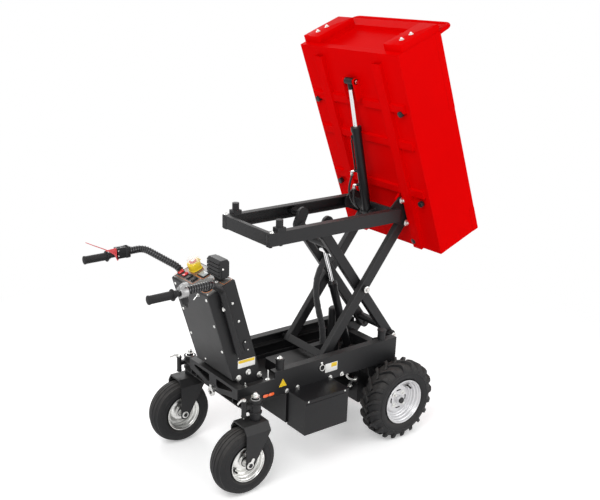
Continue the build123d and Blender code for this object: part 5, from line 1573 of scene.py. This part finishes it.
def lamp(scene, name, place, target, size, power, colour=(1.0, 1.0, 1.0)):
    """Square area lamp that faces a point."""
    data = bpy.data.lights.new(name, "AREA")
    data.energy, data.size, data.color = power, size, colour
    made = bpy.data.objects.new(name, data)
    made.location = place
    made.rotation_euler = (Vector(target) - Vector(place)).to_track_quat("-Z", "Y").to_euler()
    scene.collection.objects.link(made)


def make_sky(scene, strength):
    """White to the camera, gloss and glass; an even soft light to everything else."""
    world = bpy.data.worlds.new("studio")
    world.use_nodes = True
    tree = world.node_tree
    tree.nodes.clear()
    path = wired(tree, "ShaderNodeLightPath").outputs
    glass = math_node(tree, "MAXIMUM", path["Is Glossy Ray"], path["Is Transmission Ray"])
    seen = math_node(tree, "MAXIMUM", path["Is Camera Ray"], glass)
    amount = wired(tree, "ShaderNodeMix", {"Factor": seen, 2: strength, 3: 1.0}, data_type="FLOAT").outputs[0]
    light = wired(tree, "ShaderNodeBackground", {"Color": (1, 1, 1, 1), "Strength": amount})
    out = wired(tree, "ShaderNodeOutputWorld")
    tree.links.new(light.outputs[0], out.inputs["Surface"])
    scene.world = world


def make_floor(colour):
    """Wide floor whose paleness to the camera is lifted to white, with the shadows kept."""
    mesh = bpy.data.meshes.new("floor")
    corners = [(x * FLOOR_HALF, y * FLOOR_HALF, 0) for x, y in ((-1, -1), (1, -1), (1, 1), (-1, 1))]
    mesh.from_pydata(corners, [], [(0, 1, 2, 3)])
    floor = bpy.data.objects.new("floor", mesh)
    bpy.context.scene.collection.objects.link(floor)
    tree, shader = surface("studio_floor", 0.7)
    grain = grouped(tree, "Grain", Size=0.02, Coarse_size=1.5, Coarse_share=0.2)
    varied(tree, shader, colour, 0.995, 1.0, grain["Tint"])
    path = wired(tree, "ShaderNodeLightPath").outputs
    seen = math_node(tree, "MAXIMUM", path["Is Camera Ray"], path["Is Glossy Ray"])
    place = wired(tree, "ShaderNodeTexCoord").outputs["Object"]
    far = wired(tree, "ShaderNodeVectorMath", {0: place}, operation="LENGTH").outputs["Value"]
    fading = {"Value": far, "From Min": FADE[0], "From Max": FADE[1]}
    fade = wired(tree, "ShaderNodeMapRange", fading).outputs[0]
    glow = wired(tree, "ShaderNodeEmission", {"Color": (1, 1, 1, 1), "Strength": GLOW})
    white = wired(tree, "ShaderNodeEmission", {"Color": (1, 1, 1, 1), "Strength": 1.0})
    both = wired(tree, "ShaderNodeAddShader", {0: shader.outputs[0], 1: glow.outputs[0]})
    faded = wired(tree, "ShaderNodeMixShader", {0: fade, 1: both.outputs[0], 2: white.outputs[0]})
    mixed = wired(tree, "ShaderNodeMixShader", {0: seen, 1: shader.outputs[0], 2: faded.outputs[0]})
    tree.links.new(mixed.outputs[0], tree.nodes["Material Output"].inputs["Surface"])
    mesh.materials.append(FINISHES["studio_floor"])


def make_stage(scene, stage):
    """Floor, sky, lamps and camera."""
    make_floor(stage.floor_colour)
    make_sky(scene, stage.sky)
    middle = (0.1, 0.0, 0.9)
    lamp(scene, "key", (-2.6, -1.6, 3.6), middle, 2.2, stage.key_power)
    lamp(scene, "fill", (2.2, -3.2, 2.2), middle, 2.4, stage.fill_power)
    lamp(scene, "back", (0.6, 3.0, 2.6), middle, 2.0, stage.fill_power)
    make_camera(scene)
    scene.view_settings.view_transform = "Standard"


# ------------------------------------------------------------------ what a user may change


class DumperPaint(bpy.types.PropertyGroup):
    """Colours of the dumper's finishes."""

    frame_colour: FloatVectorProperty(
        name="Frame", description="Powder coat on the steel frame", subtype="COLOR",
        default=(0.0125, 0.0125, 0.0135), min=0, max=1)
    bed_colour: FloatVectorProperty(
        name="Bed", description="Enamel on the tipping bed", subtype="COLOR",
        default=(0.71, 0.0004, 0.0008), min=0, max=1)
    rubber_colour: FloatVectorProperty(
        name="Rubber", description="Tyres and grips", subtype="COLOR",
        default=(0.013, 0.013, 0.014), min=0, max=1)
    wheel_colour: FloatVectorProperty(
        name="Wheels", description="Silver paint on the drive wheels", subtype="COLOR",
        default=(0.68, 0.68, 0.69), min=0, max=1)
    guard_colour: FloatVectorProperty(
        name="Guard", description="Housing of the emergency stop", subtype="COLOR",
        default=(0.85, 0.62, 0.02), min=0, max=1)


class DumperTread(bpy.types.PropertyGroup):
    """Sizes of the tyres' tread."""

    lugs: IntProperty(
        name="Lugs", description="Lugs round each side of a drive tyre", default=20, min=8, max=40)
    lug_height: FloatProperty(
        name="Lug height", description="How far a lug stands out of the tyre", subtype="DISTANCE",
        default=0.013, min=0.002, max=0.03)
    lug_width: FloatProperty(
        name="Lug width", description="Width of a lug at its top", subtype="DISTANCE",
        default=0.013, min=0.004, max=0.04)
    grooves: IntProperty(name="Grooves", description="Grooves round a castor tyre", default=4, min=1, max=6)
    groove_depth: FloatProperty(
        name="Groove depth", description="Depth of a castor tyre's grooves", subtype="DISTANCE",
        default=0.004, min=0.001, max=0.01)


class DumperStage(bpy.types.PropertyGroup):
    """The studio round the dumper."""

    floor_colour: FloatVectorProperty(
        name="Floor", description="Colour of the floor", subtype="COLOR", default=(0.9, 0.9, 0.9),
        min=0, max=1)
    key_power: FloatProperty(
        name="Key", description="Power of the large lamp over the left shoulder, in watts",
        default=95.0, min=0)
    fill_power: FloatProperty(
        name="Fill", description="Power of the lamp on the right, in watts", default=38.0, min=0)
    sky: FloatProperty(name="Sky", description="Strength of the even light all round", default=0.55, min=0)


# ------------------------------------------------------------------ operators


class DumperStep:
    """One step that always runs to its end, or raises."""

    bl_options = {"REGISTER", "UNDO"}


class DUMPER_OT_stage(DumperStep, bpy.types.Operator):
    """Floor, sky, lamps and camera"""

    bl_idname = "dumper.stage"
    bl_label = "Stage"

    def execute(self, context):
        make_stage(context.scene, context.scene.dumper_stage)
        return {"FINISHED"}


class DUMPER_OT_finishes(DumperStep, bpy.types.Operator):
    """Finishes, and each CAD part's own finish"""

    bl_idname = "dumper.finishes"
    bl_label = "Finishes"

    def execute(self, context):
        make_finishes(context.scene.dumper_paint)
        finish_frame()
        return {"FINISHED"}


class DUMPER_OT_drive_tyres(DumperStep, bpy.types.Operator):
    """Lugged tyres on the drive wheels"""

    bl_idname = "dumper.drive_tyres"
    bl_label = "Drive tyres"

    def execute(self, context):
        make_drive_tyres(context.scene.dumper_tread)
        return {"FINISHED"}


class DUMPER_OT_castor_tyres(DumperStep, bpy.types.Operator):
    """Ribbed tyres on the castor wheels"""

    bl_idname = "dumper.castor_tyres"
    bl_label = "Castor tyres"

    def execute(self, context):
        make_castor_tyres(context.scene.dumper_tread)
        return {"FINISHED"}


class DUMPER_OT_rims(DumperStep, bpy.types.Operator):
    """Silver drive rims and zinc castor rims"""

    bl_idname = "dumper.rims"
    bl_label = "Rims"

    def execute(self, context):
        make_drive_rims()
        make_castor_rims()
        return {"FINISHED"}


class DUMPER_OT_castor_hardware(DumperStep, bpy.types.Operator):
    """Nuts, lock plates and swivel locks on the castors"""

    bl_idname = "dumper.castor_hardware"
    bl_label = "Castor hardware"

    def execute(self, context):
        make_castor_hardware()
        return {"FINISHED"}


class DUMPER_OT_console(DumperStep, bpy.types.Operator):
    """Panel, switches, screws and labels on the console"""

    bl_idname = "dumper.console"
    bl_label = "Console"

    def execute(self, context):
        make_panel()
        make_console_sides()
        return {"FINISHED"}


class DUMPER_OT_emergency(DumperStep, bpy.types.Operator):
    """Stop button with its clear cover"""

    bl_idname = "dumper.emergency"
    bl_label = "Emergency stop"

    def execute(self, context):
        make_emergency_stop()
        return {"FINISHED"}


class DUMPER_OT_lamp(DumperStep, bpy.types.Operator):
    """Rim, lens and bracket of the work lamp"""

    bl_idname = "dumper.lamp"
    bl_label = "Work lamp"

    def execute(self, context):
        make_work_lamp()
        return {"FINISHED"}


class DUMPER_OT_handlebars(DumperStep, bpy.types.Operator):
    """Grips, cable wrap, levers and bar bolts"""

    bl_idname = "dumper.handlebars"
    bl_label = "Handlebars"

    def execute(self, context):
        make_handlebars()
        return {"FINISHED"}


class DUMPER_OT_hoses(DumperStep, bpy.types.Operator):
    """Woven hose sleeve, the tip cylinder's hoses and the console's cable"""

    bl_idname = "dumper.hoses"
    bl_label = "Hoses"

    def execute(self, context):
        make_sleeve()
        make_tip_hoses()
        make_console_cable()
        return {"FINISHED"}


class DUMPER_OT_chassis_trim(DumperStep, bpy.types.Operator):
    """Bolts, reflectors, labels and pipes on the chassis"""

    bl_idname = "dumper.chassis_trim"
    bl_label = "Chassis fittings"

    def execute(self, context):
        make_chassis_trim()
        return {"FINISHED"}


class DUMPER_OT_lift_trim(DumperStep, bpy.types.Operator):
    """Pins' bolts, the platform's studs, end plates and feet, and the tip cylinder's pipe"""

    bl_idname = "dumper.lift_trim"
    bl_label = "Lift fittings"

    def execute(self, context):
        make_scissor_pins()
        make_deck_trim()
        make_cylinder_trim()
        return {"FINISHED"}


class DUMPER_OT_bed_trim(DumperStep, bpy.types.Operator):
    """Corner plates, bolts and knobs on the bed, and the tip rod's head"""

    bl_idname = "dumper.bed_trim"
    bl_label = "Bed fittings"

    def execute(self, context):
        make_bed_trim()
        make_rod_head()
        return {"FINISHED"}


class DUMPER_PT_parts(bpy.types.Panel):
    """Sizes, colours and steps of the dumper"""

    bl_label = "Site dumper"
    bl_idname = "DUMPER_PT_parts"
    bl_space_type = "VIEW_3D"
    bl_region_type = "UI"
    bl_category = "Dumper"

    def draw(self, context):
        for group in (context.scene.dumper_paint, context.scene.dumper_tread, context.scene.dumper_stage):
            box = self.layout.box()
            for label in group.__annotations__:
                box.prop(group, label)
        for step in STEPS:
            self.layout.operator(step.bl_idname)


SETTINGS = {"dumper_paint": DumperPaint, "dumper_tread": DumperTread, "dumper_stage": DumperStage}
STEPS = (
    DUMPER_OT_finishes,
    DUMPER_OT_drive_tyres,
    DUMPER_OT_castor_tyres,
    DUMPER_OT_rims,
    DUMPER_OT_castor_hardware,
    DUMPER_OT_console,
    DUMPER_OT_emergency,
    DUMPER_OT_lamp,
    DUMPER_OT_handlebars,
    DUMPER_OT_hoses,
    DUMPER_OT_chassis_trim,
    DUMPER_OT_lift_trim,
    DUMPER_OT_bed_trim,
    DUMPER_OT_stage,
)
CLASSES = (*SETTINGS.values(), *STEPS, DUMPER_PT_parts)


def register():
    for kind in CLASSES:
        bpy.utils.register_class(kind)
    for label, kind in SETTINGS.items():
        setattr(bpy.types.Scene, label, PointerProperty(type=kind))


def unregister():
    for label in SETTINGS:
        delattr(bpy.types.Scene, label)
    for kind in reversed(CLASSES):
        bpy.utils.unregister_class(kind)


def main():
    """Runs every step in order."""
    register()
    for step in STEPS:
        group, name = step.bl_idname.split(".")
        getattr(getattr(bpy.ops, group), name)()


if __name__ == "__main__":
    main()
